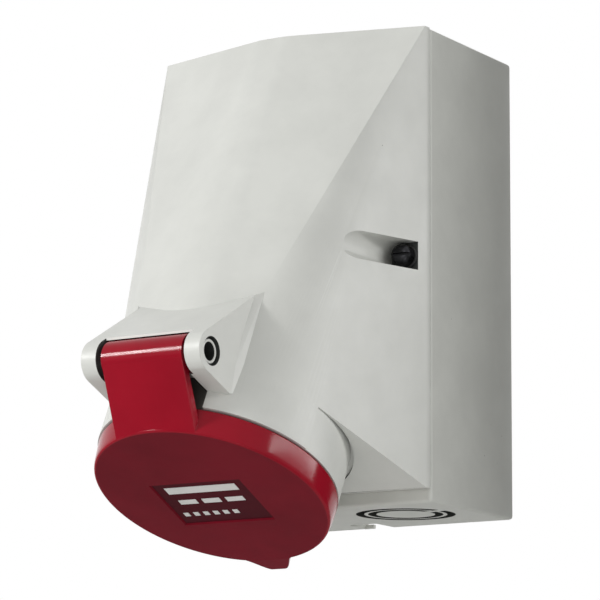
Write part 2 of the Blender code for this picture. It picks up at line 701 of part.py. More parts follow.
def lid(look):
    """Red cup with its arm, hinge barrel and lifting tab."""
    edge = LID_EDGE_RADIUS
    profile = [(0, LID_RIM_HEIGHT), (LID_RIM_RADIUS - edge, LID_RIM_HEIGHT),
               (LID_RIM_RADIUS, LID_RIM_HEIGHT - edge), (LID_FACE_RADIUS, edge),
               (LID_FACE_RADIUS - edge, 0), (0, 0)]
    cup = set_in(turned("lid", profile, look), SOCKET_FRAME)
    for tool in (lid_arm(), lid_tab()):
        combine(cup, tool, "UNION")
    cut_lid(cup)
    return cup


def lid_arm():
    """The flat arm that leans from the lid's face up to the hinge barrel, and the barrel itself."""
    inner = ARM_THICKNESS - BARREL_RADIUS
    outline = [(inner, -ARM_LENGTH), (-BARREL_RADIUS, -ARM_LENGTH)]
    last = math.acos(inner / BARREL_RADIUS)
    for step in range(MEDIUM_SEGMENTS + 1):
        angle = math.pi - (math.pi + last) * step / MEDIUM_SEGMENTS
        outline.append((BARREL_RADIUS * math.cos(angle), BARREL_RADIUS * math.sin(angle)))
    arm = extruded("lid_arm", outline, ARM_HALF_WIDTH)
    return set_in(arm, HINGE_FRAME @ Matrix.Rotation(ARM_LEAN, 4, "X"))


def lid_tab():
    """The lifting tab opposite the hinge."""
    points = []
    for z in (TAB_LOW, TAB_HIGH):
        for sign in (-1, 1):
            points.append(at_socket(sign * TAB_HALF_WIDTH, LID_INNER_RADIUS * 0.98, z))
            for step in range(7):
                angle = math.radians(90 * step / 6)
                x = TAB_HALF_WIDTH - TAB_TIP_RADIUS + TAB_TIP_RADIUS * math.cos(angle)
                y = TAB_REACH - TAB_TIP_RADIUS + TAB_TIP_RADIUS * math.sin(angle)
                points.append(at_socket(sign * x, y, z))
    return hull("lid_tab", points)


def cut_lid(cup):
    """Cut the cup's inside, the pin's hole, the spring's room and the bare label panel."""
    room = rod("lid_inside", at_socket(0, 0, LID_FACE_THICKNESS), at_socket(0, 0, COLLAR_MOUTH),
               LID_INNER_RADIUS, ROUND_SEGMENTS)
    combine(cup, room)
    reach = Vector((EAR_OUTER_X, 0, 0))
    hole = rod("lid_pin_hole", HINGE_WORLD - reach, HINGE_WORLD + reach, PIN_RADIUS + FIT_GAP,
               MEDIUM_SEGMENTS)
    combine(cup, hole)
    half = Vector((SPRING_POCKET_HALF_WIDTH, 0, 0))
    wide = rod("spring_bore", HINGE_WORLD - half, HINGE_WORLD + half,
               BARREL_RADIUS - SPRING_POCKET_SKIN, MEDIUM_SEGMENTS)
    combine(cup, wide)
    back = block("spring_pocket",
                 (-SPRING_POCKET_HALF_WIDTH, -BARREL_RADIUS + SPRING_POCKET_SKIN, -SPRING_POCKET_LENGTH),
                 (SPRING_POCKET_HALF_WIDTH, 2 * BARREL_RADIUS, 0))
    combine(cup, set_in(back, HINGE_FRAME @ Matrix.Rotation(ARM_LEAN, 4, "X")))
    panel = block("label_panel", (-PANEL_WIDTH / 2, PANEL_OFFSET - PANEL_LENGTH / 2, -OVERSHOOT),
                  (PANEL_WIDTH / 2, PANEL_OFFSET + PANEL_LENGTH / 2, PANEL_DEPTH))
    combine(cup, set_in(panel, SOCKET_FRAME))


def lid_gasket(look):
    """Sealing ring in the lid, against the collar's mouth."""
    outer = LID_INNER_RADIUS - FIT_GAP
    gasket = ring("lid_gasket", outer - GASKET_WIDTH, outer, LID_FACE_THICKNESS + FIT_GAP,
                  COLLAR_MOUTH - FIT_GAP, look)
    return set_in(gasket, SOCKET_FRAME)


def hinge_pin(look):
    """Pin through both ears and the barrel, bored at its ends and a little short of the ears."""
    reach = EAR_OUTER_X - PIN_RECESS
    floor = reach - PIN_BORE_DEPTH
    profile = [(0, floor), (PIN_BORE_RADIUS, floor), (PIN_BORE_RADIUS, reach), (PIN_RADIUS, reach),
               (PIN_RADIUS, -reach), (PIN_BORE_RADIUS, -reach), (PIN_BORE_RADIUS, -floor), (0, -floor)]
    pin = turned("hinge_pin", profile, look, segments=MEDIUM_SEGMENTS)
    return set_in(pin, HINGE_FRAME @ Matrix.Rotation(math.pi / 2, 4, "Y"))


def lid_spring(look):
    """Torsion spring on the pin, with a long leg behind the lid's arm and a short end beside it."""
    radius = PIN_RADIUS + 2 * FIT_GAP + SPRING_WIRE_RADIUS
    count = round(SPRING_TURNS * SPRING_POINTS_PER_TURN)
    coil = []
    for step in range(count + 1):
        angle = math.pi + ARM_LEAN - 2 * math.pi * step / SPRING_POINTS_PER_TURN
        x = SPRING_PITCH * (step - count / 2) / SPRING_POINTS_PER_TURN
        coil.append(Vector((x, radius * math.cos(angle), radius * math.sin(angle))))
    towards_lid = Vector((0, math.sin(ARM_LEAN), -math.cos(ARM_LEAN)))
    long_leg = [coil[0] + towards_lid * reach for reach in (SPRING_LEG, SPRING_LEG / 2)]
    short_leg = [coil[-1] + towards_lid * SPRING_SHORT_LEG]
    points = long_leg + coil + short_leg
    line = bpy.data.curves.new("lid_spring", "CURVE")
    line.dimensions = "3D"
    line.bevel_depth = SPRING_WIRE_RADIUS
    line.bevel_resolution = 1
    line.use_fill_caps = True
    line.materials.append(look)
    path = line.splines.new("POLY")
    path.points.add(len(points) - 1)
    for point, place in zip(path.points, points):
        point.co = (*place, 1.0)
    spring = bpy.data.objects.new("lid_spring", line)
    parts.objects.link(spring)
    return set_in(spring, HINGE_FRAME)


# Contact carrier and terminals

def contact_places():
    """Name, x, y, pin hole radius and turn of each contact; the earth is at the keyway."""
    for i, name in enumerate(CONTACT_NAMES):
        angle = math.pi / 2 + 2 * math.pi * i / len(CONTACT_NAMES)
        hole = EARTH_PIN_HOLE_RADIUS if name == "pe" else PIN_HOLE_RADIUS
        yield (name, CONTACT_CIRCLE_RADIUS * math.cos(angle), CONTACT_CIRCLE_RADIUS * math.sin(angle),
               hole, angle)


def contact_carrier(look):
    """Round insulating insert: a barrel with a lip on the collar's ledge and stepped contact bores."""
    chamfer = CARRIER_FACE_CHAMFER
    profile = [(0, LIP_TOP), (CARRIER_LIP_RADIUS, LIP_TOP), (CARRIER_LIP_RADIUS, LIP_BASE),
               (CARRIER_RADIUS, LIP_BASE), (CARRIER_RADIUS, CARRIER_FACE + chamfer),
               (CARRIER_RADIUS - chamfer, CARRIER_FACE), (0, CARRIER_FACE)]
    carrier = set_in(turned("contact_carrier", profile, look), SOCKET_FRAME)
    for name, x, y, hole, _ in contact_places():
        outer = hole + SLEEVE_WALL + FIT_GAP
        seat = LIP_TOP - SLEEVE_COLLAR_HEIGHT - FIT_GAP
        stepped = [(0, LIP_TOP + OVERSHOOT), (outer + SLEEVE_COLLAR_STEP, LIP_TOP + OVERSHOOT),
                   (outer + SLEEVE_COLLAR_STEP, seat), (outer, seat),
                   (outer, SLEEVE_BASE - FIT_GAP), (hole + FIT_GAP, SLEEVE_BASE - FIT_GAP),
                   (hole + FIT_GAP, CARRIER_FACE - OVERSHOOT), (0, CARRIER_FACE - OVERSHOOT)]
        bore = turned("carrier_bore_" + name, stepped, segments=SMALL_SEGMENTS)
        combine(carrier, set_in(bore, SOCKET_FRAME @ Matrix.Translation((x, y, 0))))
    return carrier


def carrier_seal(look):
    """Rubber ring round the carrier's lip, on the collar's ledge and inside the plate's rim."""
    inner = CARRIER_LIP_RADIUS + FIT_GAP
    seal = ring("carrier_seal", inner, inner + CARRIER_SEAL_WIDTH, LIP_BASE, LIP_TOP, look)
    return set_in(seal, SOCKET_FRAME)


def carrier_back_plate(look):
    """Plate that presses the carrier's lip and the sleeves' collars into their seats."""
    rim = CARRIER_LIP_RADIUS + 2 * FIT_GAP + CARRIER_SEAL_WIDTH
    plate = turned("carrier_back_plate",
                   [(0, BACK_PLATE_TOP), (BACK_PLATE_RADIUS, BACK_PLATE_TOP), (BACK_PLATE_RADIUS, LIP_BASE),
                    (rim, LIP_BASE), (rim, BACK_PLATE_BASE), (0, BACK_PLATE_BASE)], look)
    set_in(plate, SOCKET_FRAME)
    for name, x, y, hole, _ in contact_places():
        cut = rod("plate_hole_" + name, at_socket(x, y, BACK_PLATE_BASE - OVERSHOOT),
                  at_socket(x, y, BACK_PLATE_TOP + OVERSHOOT), hole + SLEEVE_WALL + FIT_GAP, SMALL_SEGMENTS)
        combine(plate, cut)
    for side, sign in both_sides():
        x = sign * CARRIER_SCREW_REACH
        hole = rod("plate_screw_hole_" + side, at_socket(x, 0, LEDGE_TOP),
                   at_socket(x, 0, BACK_PLATE_TOP + OVERSHOOT), CARRIER_SCREW_RADIUS + SCREW_GAP,
                   SMALL_SEGMENTS)
        combine(plate, hole)
    return plate


def contact_sleeve(name, x, y, hole, angle, look):
    """A turned sleeve: pin hole in front, locating collar, and a wire bore with a screw hole behind."""
    outer = hole + SLEEVE_WALL
    collar_top = LIP_TOP
    collar_base = collar_top - SLEEVE_COLLAR_HEIGHT
    floor = SLEEVE_BASE + PIN_HOLE_DEPTH
    wire_floor = SLEEVE_TOP - WIRE_BORE_DEPTH
    profile = [(0, wire_floor), (WIRE_BORE_RADIUS, wire_floor), (WIRE_BORE_RADIUS, SLEEVE_TOP),
               (outer, SLEEVE_TOP), (outer, collar_top), (outer + SLEEVE_COLLAR_STEP, collar_top),
               (outer + SLEEVE_COLLAR_STEP, collar_base), (outer, collar_base), (outer, SLEEVE_BASE),
               (hole, SLEEVE_BASE), (hole, floor), (0, floor)]
    sleeve = turned("contact_sleeve_" + name, profile, look, segments=SMALL_SEGMENTS)
    place = SOCKET_FRAME @ Matrix.Translation((x, y, 0)) @ Matrix.Rotation(angle, 4, "Z")
    set_in(sleeve, place)
    height = BACK_PLATE_TOP + TERMINAL_SCREW_RISE
    tapped = rod("terminal_hole_" + name, (0, 0, height), (2 * outer, 0, height),
                 TERMINAL_SCREW_RADIUS + SCREW_GAP, SMALL_SEGMENTS)
    combine(sleeve, set_in(tapped, place))
    return sleeve


def terminal_screw(name, x, y, hole, angle, look):
    """Clamping screw that points at the wire bore from outside."""
    seat = hole + SLEEVE_WALL + FIT_GAP
    tip = WIRE_BORE_RADIUS + FIT_GAP
    profile = [(0, -tip), (TERMINAL_SCREW_RADIUS, -tip), (TERMINAL_SCREW_RADIUS, -seat),
               (TERMINAL_SCREW_HEAD_RADIUS, -seat),
               (TERMINAL_SCREW_HEAD_RADIUS, -seat - TERMINAL_SCREW_HEAD_HEIGHT),
               (0, -seat - TERMINAL_SCREW_HEAD_HEIGHT)]
    screw = turned("terminal_screw_" + name, profile, look, segments=SMALL_SEGMENTS)
    place = SOCKET_FRAME @ Matrix.Translation((x, y, BACK_PLATE_TOP + TERMINAL_SCREW_RISE))
    place = place @ Matrix.Rotation(angle, 4, "Z") @ Matrix.Rotation(-math.pi / 2, 4, "Y")
    set_in(screw, place)
    return screw


def carrier_screw(side, sign, look):
    """Screw that holds the back plate on the collar's ledge."""
    seat = BACK_PLATE_TOP + FIT_GAP
    head_top = seat + CARRIER_SCREW_HEAD_HEIGHT
    tip = LEDGE_TOP - CARRIER_SCREW_DEPTH + FIT_GAP
    profile = [(0, head_top), (CARRIER_SCREW_HEAD_RADIUS, head_top), (CARRIER_SCREW_HEAD_RADIUS, seat),
               (CARRIER_SCREW_RADIUS, seat), (CARRIER_SCREW_RADIUS, tip), (0, tip)]
    screw = turned("carrier_screw_" + side, profile, look, segments=SMALL_SEGMENTS)
    return set_in(screw, SOCKET_FRAME @ Matrix.Translation((sign * CARRIER_SCREW_REACH, 0, 0)))


def build():
    """Make every piece."""
    start_scene()
    back_box(material("box_grey", (0.52, 0.53, 0.50), 0.45))
    hood(material("hood_grey", (0.62, 0.63, 0.60), 0.42))
    box_seal(material("box_seal_black", (0.03, 0.03, 0.03), 0.8))
    cup = lid(material("lid_red", (0.27, 0.012, 0.03), 0.3))
    gasket = lid_gasket(material("gasket_black", (0.04, 0.04, 0.04), 0.8))
    spring = lid_spring(material("spring_steel", (0.6, 0.6, 0.6), 0.3, 1.0))
    hang_on_hinge((cup, gasket, spring))
    hinge_pin(material("pin_grey", (0.55, 0.56, 0.54), 0.4))
    contact_carrier(material("carrier_black", (0.05, 0.05, 0.055), 0.5))
    carrier_seal(material("carrier_seal_black", (0.03, 0.03, 0.03), 0.8))
    carrier_back_plate(material("plate_black", (0.07, 0.07, 0.07), 0.5))
    for side, sign in both_sides():
        cover_screw(side, sign, material("cover_screw_steel_" + side, (0.08, 0.08, 0.08), 0.4, 0.8))
        cover_washer(side, sign, material("washer_black_" + side, (0.03, 0.03, 0.03), 0.8))
        carrier_screw(side, sign, material("carrier_screw_steel_" + side, (0.6, 0.6, 0.6), 0.35, 1.0))
    for name, x, y, hole, angle in contact_places():
        brass = material("contact_brass_" + name, (0.72, 0.52, 0.22), 0.3, 1.0)
        steel = material("terminal_steel_" + name, (0.6, 0.6, 0.6), 0.35, 1.0)
        contact_sleeve(name, x, y, hole, angle, brass)
        terminal_screw(name, x, y, hole, angle, steel)


build()
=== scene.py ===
# %% [markdown]
# # An industrial wall socket in grey plastic with a sprung red lid
#
# The object is a moulded back box on a wall, a faceted hood in front of it, and a round outlet that
# looks down and forward under the hood. A red lid on a hinge closes the outlet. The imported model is
# loaded first. Its places are the truth for everything that follows, so each piece is drawn in the
# same metres and the same frame: the wall is the plane Y = 0, the front is at -Y, and +Z is up.

import math

import bmesh
import bpy
from mathutils import Matrix, Vector
from mathutils.bvhtree import BVHTree


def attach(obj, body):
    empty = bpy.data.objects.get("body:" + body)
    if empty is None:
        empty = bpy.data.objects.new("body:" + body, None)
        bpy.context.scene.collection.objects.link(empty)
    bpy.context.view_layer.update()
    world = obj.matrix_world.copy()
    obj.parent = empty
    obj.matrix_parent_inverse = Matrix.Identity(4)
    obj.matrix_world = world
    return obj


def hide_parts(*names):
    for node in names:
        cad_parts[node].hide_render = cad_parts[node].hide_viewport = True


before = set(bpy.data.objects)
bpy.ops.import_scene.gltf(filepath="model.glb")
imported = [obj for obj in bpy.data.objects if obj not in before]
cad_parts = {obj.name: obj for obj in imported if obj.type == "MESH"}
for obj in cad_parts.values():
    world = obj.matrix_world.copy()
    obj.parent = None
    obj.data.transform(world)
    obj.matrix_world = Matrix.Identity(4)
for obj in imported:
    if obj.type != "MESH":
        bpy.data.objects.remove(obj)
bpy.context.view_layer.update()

# %% [markdown]
# ## Sizes and the tilted frame of the outlet
#
# The outlet, the collar and the lid share one tilted axis, so they are drawn in a frame of their own
# and turned into place once. Its +Z runs up the axis into the hood, and its zero is the centre of the
# closed lid's face. The hinge lies in front of it and a little higher.

# %% Sizes of the housing
BOX_HALF = 0.052
BOX_BOTTOM, BOX_TOP = -0.080, 0.080
SEAM = -0.057
HOOD_BACK = -0.0573
HOOD_SKIRT = -0.0603
HOOD_BOTTOM = -0.0754
RIDGE_HALF, RIDGE_FRONT = 0.005, -0.0728
OUTLET = Matrix.Translation((0, -0.1085, -0.0811)) @ Matrix.Rotation(-math.radians(25.9), 4, "X")
HINGE_AT = (0, -0.0492, 0.0217)
HINGE, HINGE_FRAME = OUTLET @ Vector(HINGE_AT), OUTLET @ Matrix.Translation(HINGE_AT)
NOSE_RADIUS, NOSE_TOP = 0.0404, 0.050
COLLAR_RADIUS, COLLAR_MOUTH = 0.0399, 0.0092
BORE_RADIUS, LEDGE_BASE, LEDGE_TOP = 0.0330, 0.042, 0.047
CREASE, UNDERSIDE = 0.0097, 0.0251
SCREW_X, SCREW_Z, POCKET_FLOOR = 0.0470, 0.0010, -0.0637
SCREW_HOLE, PIN_HOLE = 0.0020, 0.0042
HOOD_WALL = 0.0028
SILL_TOP = HOOD_BOTTOM + 0.0028
print("hinge axis at", tuple(round(v, 4) for v in HINGE))

# %% [markdown]
# ## Helpers for solid pieces
#
# Moulded plastic is easiest to model as the mould maker thinks of it: a block is added, a core is cut
# away. Each block here is a small bmesh made by an operator: a cube, a cone, the hull of a few points,
# or a profile that is spun. Boolean modifiers then add and cut them, and the result is kept as one mesh
# whose object stays at the origin, as the CAD nodes' objects do.

# %% Turn a bmesh into an object, and join or cut objects
collection = bpy.context.scene.collection


def make(name, shape):
    """An object at the origin that holds the finished shape."""
    mesh = bpy.data.meshes.new(name)
    shape.to_mesh(mesh)
    shape.free()
    made = bpy.data.objects.new(name, mesh)
    collection.objects.link(made)
    return made


def work(body, tool, operation="DIFFERENCE"):
    """Cut the tool from the body, or add it, with a live boolean."""
    step = body.modifiers.new(tool.name, "BOOLEAN")
    step.operation = operation
    step.solver = "EXACT"
    step.object = tool
    tool.hide_render = True


def settle(body):
    """Keep what the modifiers give as a plain mesh and throw the tools away."""
    graph = bpy.context.evaluated_depsgraph_get()
    mesh = bpy.data.meshes.new_from_object(body.evaluated_get(graph))
    used = [step.object for step in body.modifiers if step.type == "BOOLEAN"]
    body.modifiers.clear()
    body.data = mesh
    for tool in used:
        bpy.data.objects.remove(tool, do_unlink=True)
    return body


# %% Blocks, rods, hulls and turned shapes
def block(low, high, bevel=0.0, place=None):
    """A box between two corners, with its edges rounded."""
    low, high = Vector(low), Vector(high)
    shape = bmesh.new()
    bmesh.ops.create_cube(shape, size=1.0)
    bmesh.ops.scale(shape, vec=high - low, verts=shape.verts)
    bmesh.ops.translate(shape, vec=(low + high) / 2, verts=shape.verts)
    if bevel:
        bmesh.ops.bevel(shape, geom=shape.edges, offset=bevel, segments=3, profile=0.5,
                        affect="EDGES", material=-1)
    if place:
        shape.transform(place)
    return shape


def rod(start, end, radius, segments=96):
    """A cylinder between two points."""
    start, end = Vector(start), Vector(end)
    shape = bmesh.new()
    bmesh.ops.create_cone(shape, cap_ends=True, segments=segments, radius1=radius, radius2=radius,
                          depth=(end - start).length)
    turn = (end - start).to_track_quat("Z", "X").to_matrix().to_4x4()
    shape.transform(Matrix.Translation((start + end) / 2) @ turn)
    return shape


def level_rod(x, z, start, end, radius, segments=96):
    """A cylinder that runs straight between front and back."""
    return rod((x, start, z), (x, end, z), radius, segments)


def soften(shape, offset, segments, sharper_than):
    """Round the edges of a shape that are sharper than an angle."""
    sharp = [e for e in shape.edges if e.calc_face_angle(0) > math.radians(sharper_than)]
    bmesh.ops.bevel(shape, geom=sharp, offset=offset, segments=segments, profile=0.5,
                    affect="EDGES", material=-1, clamp_overlap=True)


def hull(points, bevel=0.0, segments=3, sharper_than=30):
    """The convex body round some points, with its sharper edges rounded."""
    shape = bmesh.new()
    for point in points:
        shape.verts.new(point)
    made = bmesh.ops.convex_hull(shape, input=shape.verts)
    spare = set(made["geom_interior"] + made["geom_unused"])
    bmesh.ops.delete(shape, geom=[v for v in spare if isinstance(v, bmesh.types.BMVert)], context="VERTS")
    bmesh.ops.dissolve_limit(shape, angle_limit=math.radians(0.02), verts=shape.verts, edges=shape.edges)
    bmesh.ops.recalc_face_normals(shape, faces=shape.faces)
    if bevel:
        soften(shape, bevel, segments, sharper_than)
    return shape


def turn(profile, place=None, closed=False, steps=128):
    """A profile of (radius, height) pairs spun round the upright axis."""
    shape = bmesh.new()
    points = [shape.verts.new((radius, 0, height)) for radius, height in profile]
    edges = [shape.edges.new(pair) for pair in zip(points, points[1:])]
    if closed:
        edges.append(shape.edges.new((points[-1], points[0])))
    bmesh.ops.spin(shape, geom=points + edges, cent=(0, 0, 0), axis=(0, 0, 1), angle=2 * math.pi,
                   steps=steps, use_merge=True)
    bmesh.ops.remove_doubles(shape, verts=shape.verts, dist=1e-6)
    bmesh.ops.recalc_face_normals(shape, faces=shape.faces)
    if place:
        shape.transform(place)
    return shape


def at_outlet(x, y, z):
    """A point of the outlet's tilted frame, in the frame of the whole object."""
    return OUTLET @ Vector((x, y, z))


def on_axis(low, high, radius, segments=96, y=0.0):
    """A cylinder along the outlet's axis, or beside it, between two heights."""
    return rod(at_outlet(0, y, low), at_outlet(0, y, high), radius, segments)


def across_hinge(half, radius, segments=96):
    """A cylinder on the hinge line that reaches equally far to both sides."""
    ends = Vector((half, 0, 0))
    return rod(HINGE - ends, HINGE + ends, radius, segments)


def arc(radius, first, last, steps):
    """Points of a circle in the outlet's frame, counted from +X towards the hinge."""
    for step in range(steps + 1):
        angle = math.radians(first + (last - first) * step / steps)
        yield radius * math.cos(angle), -radius * math.sin(angle)


print("helpers ready")

# %% [markdown]
# ## Finishes
#
# The grey is a polyamide moulding: satin, with a very fine grain, faint flow marks and a few dark
# specks. The red lid is the same plastic polished on its rim and arm, and finely matt on its face. Each
# finish is a Principled shader whose colour, roughness and bump come from noise on object coordinates,
# so nothing slides when the camera or the lid moves.

# %% A moulded plastic with grain, flow marks and specks
def node(tree, kind, **values):
    """A shader node with some of its inputs set."""
    made = tree.nodes.new(kind)
    for key, value in values.items():
        made.inputs[key.replace("_", " ")].default_value = value
    return made


def ramp(tree, source, stops):
    """A colour ramp fed by a value."""
    made = tree.nodes.new("ShaderNodeValToRGB")
    while len(made.color_ramp.elements) < len(stops):
        made.color_ramp.elements.new(0.5)
    for element, (place, colour) in zip(made.color_ramp.elements, stops):
        element.position = place
        element.color = (*colour, 1.0)
    tree.links.new(source, made.inputs["Fac"])
    return made.outputs["Color"]


def grey(value):
    """A neutral colour."""
    return value, value, value


def moulded(name, colour, roughness, spread=0.04, grain=0.03, grain_scale=5200, flow=0.05, speck=None,
            shine=0.5):
    """Plastic: mottled colour, uneven gloss, a fine grain, a soft waviness, and specks if asked for."""
    made = bpy.data.materials.new(name)
    made.use_nodes = True
    tree = made.node_tree
    shader = tree.nodes["Principled BSDF"]
    where = tree.nodes.new("ShaderNodeTexCoord").outputs["Object"]

    mottle = node(tree, "ShaderNodeTexNoise", Scale=38.0, Detail=4.0, Roughness=0.6)
    tree.links.new(where, mottle.inputs["Vector"])
    darker = tuple(c * (1 - spread) for c in colour)
    lighter = tuple(min(1.0, c * (1 + spread)) for c in colour)
    tint = ramp(tree, mottle.outputs["Fac"], [(0.35, darker), (0.65, lighter)])
    if speck:
        dots = node(tree, "ShaderNodeTexVoronoi", Scale=speck)
        tree.links.new(where, dots.inputs["Vector"])
        spots = ramp(tree, dots.outputs["Distance"], [(0.012, grey(0.45)), (0.022, grey(1.0))])
        mix = tree.nodes.new("ShaderNodeMix")
        mix.data_type = "RGBA"
        mix.blend_type = "MULTIPLY"
        mix.inputs["Factor"].default_value = 1.0
        tree.links.new(tint, mix.inputs["A"])
        tree.links.new(spots, mix.inputs["B"])
        tint = mix.outputs["Result"]
    tree.links.new(tint, shader.inputs["Base Color"])

    streaks = node(tree, "ShaderNodeTexNoise", Scale=90.0, Detail=5.0, Roughness=0.7)
    tree.links.new(where, streaks.inputs["Vector"])
    gloss = ramp(tree, streaks.outputs["Fac"],
                 [(0.3, grey(roughness - 0.05)), (0.7, grey(roughness + 0.05))])
    tree.links.new(gloss, shader.inputs["Roughness"])

    fine = node(tree, "ShaderNodeTexNoise", Scale=grain_scale, Detail=2.0)
    tree.links.new(where, fine.inputs["Vector"])
    grain_bump = node(tree, "ShaderNodeBump", Strength=grain, Distance=0.0001)
    tree.links.new(fine.outputs["Fac"], grain_bump.inputs["Height"])
    wave = node(tree, "ShaderNodeTexNoise", Scale=55.0, Detail=1.0)
    tree.links.new(where, wave.inputs["Vector"])
    wave_bump = node(tree, "ShaderNodeBump", Strength=flow, Distance=0.0006)
    tree.links.new(wave.outputs["Fac"], wave_bump.inputs["Height"])
    tree.links.new(grain_bump.outputs["Normal"], wave_bump.inputs["Normal"])
    tree.links.new(wave_bump.outputs["Normal"], shader.inputs["Normal"])
    shader.inputs["Specular IOR Level"].default_value = shine
    return made


HOOD_GREY = moulded("hood_grey_plastic", (0.68, 0.685, 0.65), 0.42, grain=0.10, speck=95.0, shine=0.4)
BOX_GREY = moulded("box_grey_plastic", (0.66, 0.665, 0.625), 0.44, grain=0.14, speck=85.0, shine=0.35)
LID_GLOSS = moulded("lid_red_polished", (0.31, 0.006, 0.018), 0.14, spread=0.06, grain=0.02, shine=0.13)
LID_SATIN = moulded("lid_red_satin", (0.185, 0.006, 0.016), 0.34, spread=0.10, grain=0.12, grain_scale=3600,
                    shine=0.05)
LID_PANEL = moulded("lid_red_panel_floor", (0.075, 0.003, 0.009), 0.34, spread=0.10, grain=0.06, shine=0.05)
CARRIER_BLACK = moulded("carrier_black_plastic", (0.030, 0.030, 0.033), 0.42, spread=0.15, grain=0.10)
RUBBER = moulded("seal_rubber", (0.022, 0.022, 0.022), 0.75, spread=0.2, grain=0.2, grain_scale=2600)
# The dark copies of the greys below are painted shade, put on faces in gaps, grooves and recesses.
HOOD_PAINTED_SHADE = moulded("hood_grey_painted_shade", (0.030, 0.033, 0.031), 0.60, spread=0.3, grain=0.15)
HOOD_RECESS_SHADE = moulded("hood_grey_recess_painted_shade", (0.10, 0.10, 0.09), 0.60, spread=0.3, grain=0.15)
BOX_PAINTED_SHADE = moulded("box_grey_painted_shade", (0.030, 0.031, 0.027), 0.60, spread=0.3, grain=0.15)
PRINT = moulded("panel_print_white", (0.78, 0.77, 0.75), 0.5, spread=0.06, grain=0.1)
print("plastic finishes:", [m.name for m in (HOOD_GREY, BOX_GREY, LID_GLOSS, LID_SATIN, CARRIER_BLACK)])


# %% Metals: drawn or turned, with fine lines and a little stain
def turned_metal(name, colour, roughness):
    """Metal with fine lines across one axis and uneven gloss."""
    made = bpy.data.materials.new(name)
    made.use_nodes = True
    tree = made.node_tree
    shader = tree.nodes["Principled BSDF"]
    shader.inputs["Metallic"].default_value = 1.0
    where = tree.nodes.new("ShaderNodeTexCoord").outputs["Object"]
    stretch = tree.nodes.new("ShaderNodeMapping")
    stretch.inputs["Scale"].default_value = (0.08, 0.08, 1.0)
    tree.links.new(where, stretch.inputs["Vector"])
    lines = node(tree, "ShaderNodeTexNoise", Scale=900.0, Detail=3.0)
    tree.links.new(stretch.outputs["Vector"], lines.inputs["Vector"])
    stain = node(tree, "ShaderNodeTexNoise", Scale=160.0, Detail=4.0)
    tree.links.new(where, stain.inputs["Vector"])
    darker = tuple(c * 0.78 for c in colour)
    tree.links.new(ramp(tree, stain.outputs["Fac"], [(0.3, darker), (0.65, colour)]),
                   shader.inputs["Base Color"])
    tree.links.new(ramp(tree, lines.outputs["Fac"], [(0.25, grey(roughness - 0.08)),
                                                     (0.75, grey(roughness + 0.12))]),
                   shader.inputs["Roughness"])
    bump = node(tree, "ShaderNodeBump", Strength=0.12, Distance=0.0001)
    tree.links.new(lines.outputs["Fac"], bump.inputs["Height"])
    tree.links.new(bump.outputs["Normal"], shader.inputs["Normal"])
    return made


BRASS = turned_metal("contact_brass", (0.72, 0.50, 0.22), 0.28)
ZINC = turned_metal("zinc_plated_steel", (0.62, 0.63, 0.65), 0.30)
DARK_STEEL = turned_metal("blackened_steel", (0.035, 0.035, 0.038), 0.30)
print("metal finishes:", [m.name for m in (BRASS, ZINC, DARK_STEEL)])


# %% Finish a piece: material, smooth shading and body
SMOOTH_UP_TO = math.radians(32.0)


def finish(piece, look, body, replaces=(), weighted=True):
    """Give a piece its finish, shade it smooth up to an angle, and let it ride on its body."""
    piece.data.materials.append(look)
    piece.data.shade_smooth()
    piece.data.set_sharp_from_angle(angle=SMOOTH_UP_TO)
    if weighted:
        even = piece.modifiers.new("even_normals", "WEIGHTED_NORMAL")
        even.keep_sharp = True
    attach(piece, body)
    if replaces:
        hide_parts(*replaces)
    print(piece.name, "faces:", len(piece.data.polygons),
          "size mm:", [round(v * 1000, 1) for v in piece.dimensions])


# %% [markdown]
# ## The hood
#
# The hood is one moulding, and its outer form is the hull of three outlines: the rectangle at the
# back, a short ridge on top with rounded ends, and the round nose round the outlet. A hull gives
# exactly the flat facets and the soft fans between them that such a moulding has, so no face is drawn
# by hand. The wedge that carries the hinge is a hull too, and the collar is a rod on the tilted axis.

# %% Outer form of the hood
def underside(y):
    """Height of the flat underside in the outlet's frame, at a distance y from the axis."""
    back = OUTLET.inverted() @ Vector((0, HOOD_SKIRT, HOOD_BOTTOM))
    return UNDERSIDE + (back.z - UNDERSIDE) / (back.y + CREASE) * (y + CREASE)


CREASE_ANGLE = math.degrees(math.asin(CREASE / NOSE_RADIUS))
RIDGE_TURN = math.atan((HOOD_SKIRT - RIDGE_FRONT) / (BOX_HALF - RIDGE_HALF))
RIDGE_ROUND, RIDGE_STEPS = 0.018, 8


def hood_points(inset, steps):
    """Corners of the hood, or of the room in it, which runs out through the open back."""
    half = BOX_HALF - inset
    low, high = HOOD_BOTTOM + inset, BOX_TOP - inset
    back = HOOD_BACK + (0.012 if inset else 0.0)
    points = [Vector((x, y, z)) for x in (-half, half) for y in (back, HOOD_SKIRT) for z in (low, high)]
    for step in range(RIDGE_STEPS + 1):
        turned = RIDGE_TURN * step / RIDGE_STEPS
        x = RIDGE_HALF - RIDGE_ROUND * math.tan(RIDGE_TURN / 2) + RIDGE_ROUND * math.sin(turned)
        y = RIDGE_FRONT + inset + RIDGE_ROUND * (1 - math.cos(turned))
        points += [Vector((-x, y, high)), Vector((x, y, high))]
    for x, y in arc(NOSE_RADIUS - inset, CREASE_ANGLE, 180 - CREASE_ANGLE, steps):
        points.append(at_outlet(x, y, underside(y) + inset))
        points.append(at_outlet(x, y, NOSE_TOP))
    return points


hood_shape = hull(hood_points(0.0, 72), bevel=0.0009, segments=3, sharper_than=24)
skins = [BVHTree.FromBMesh(hood_shape)]
hood = make("hood_shell", hood_shape)
print("hood hull faces:", len(hood.data.polygons))
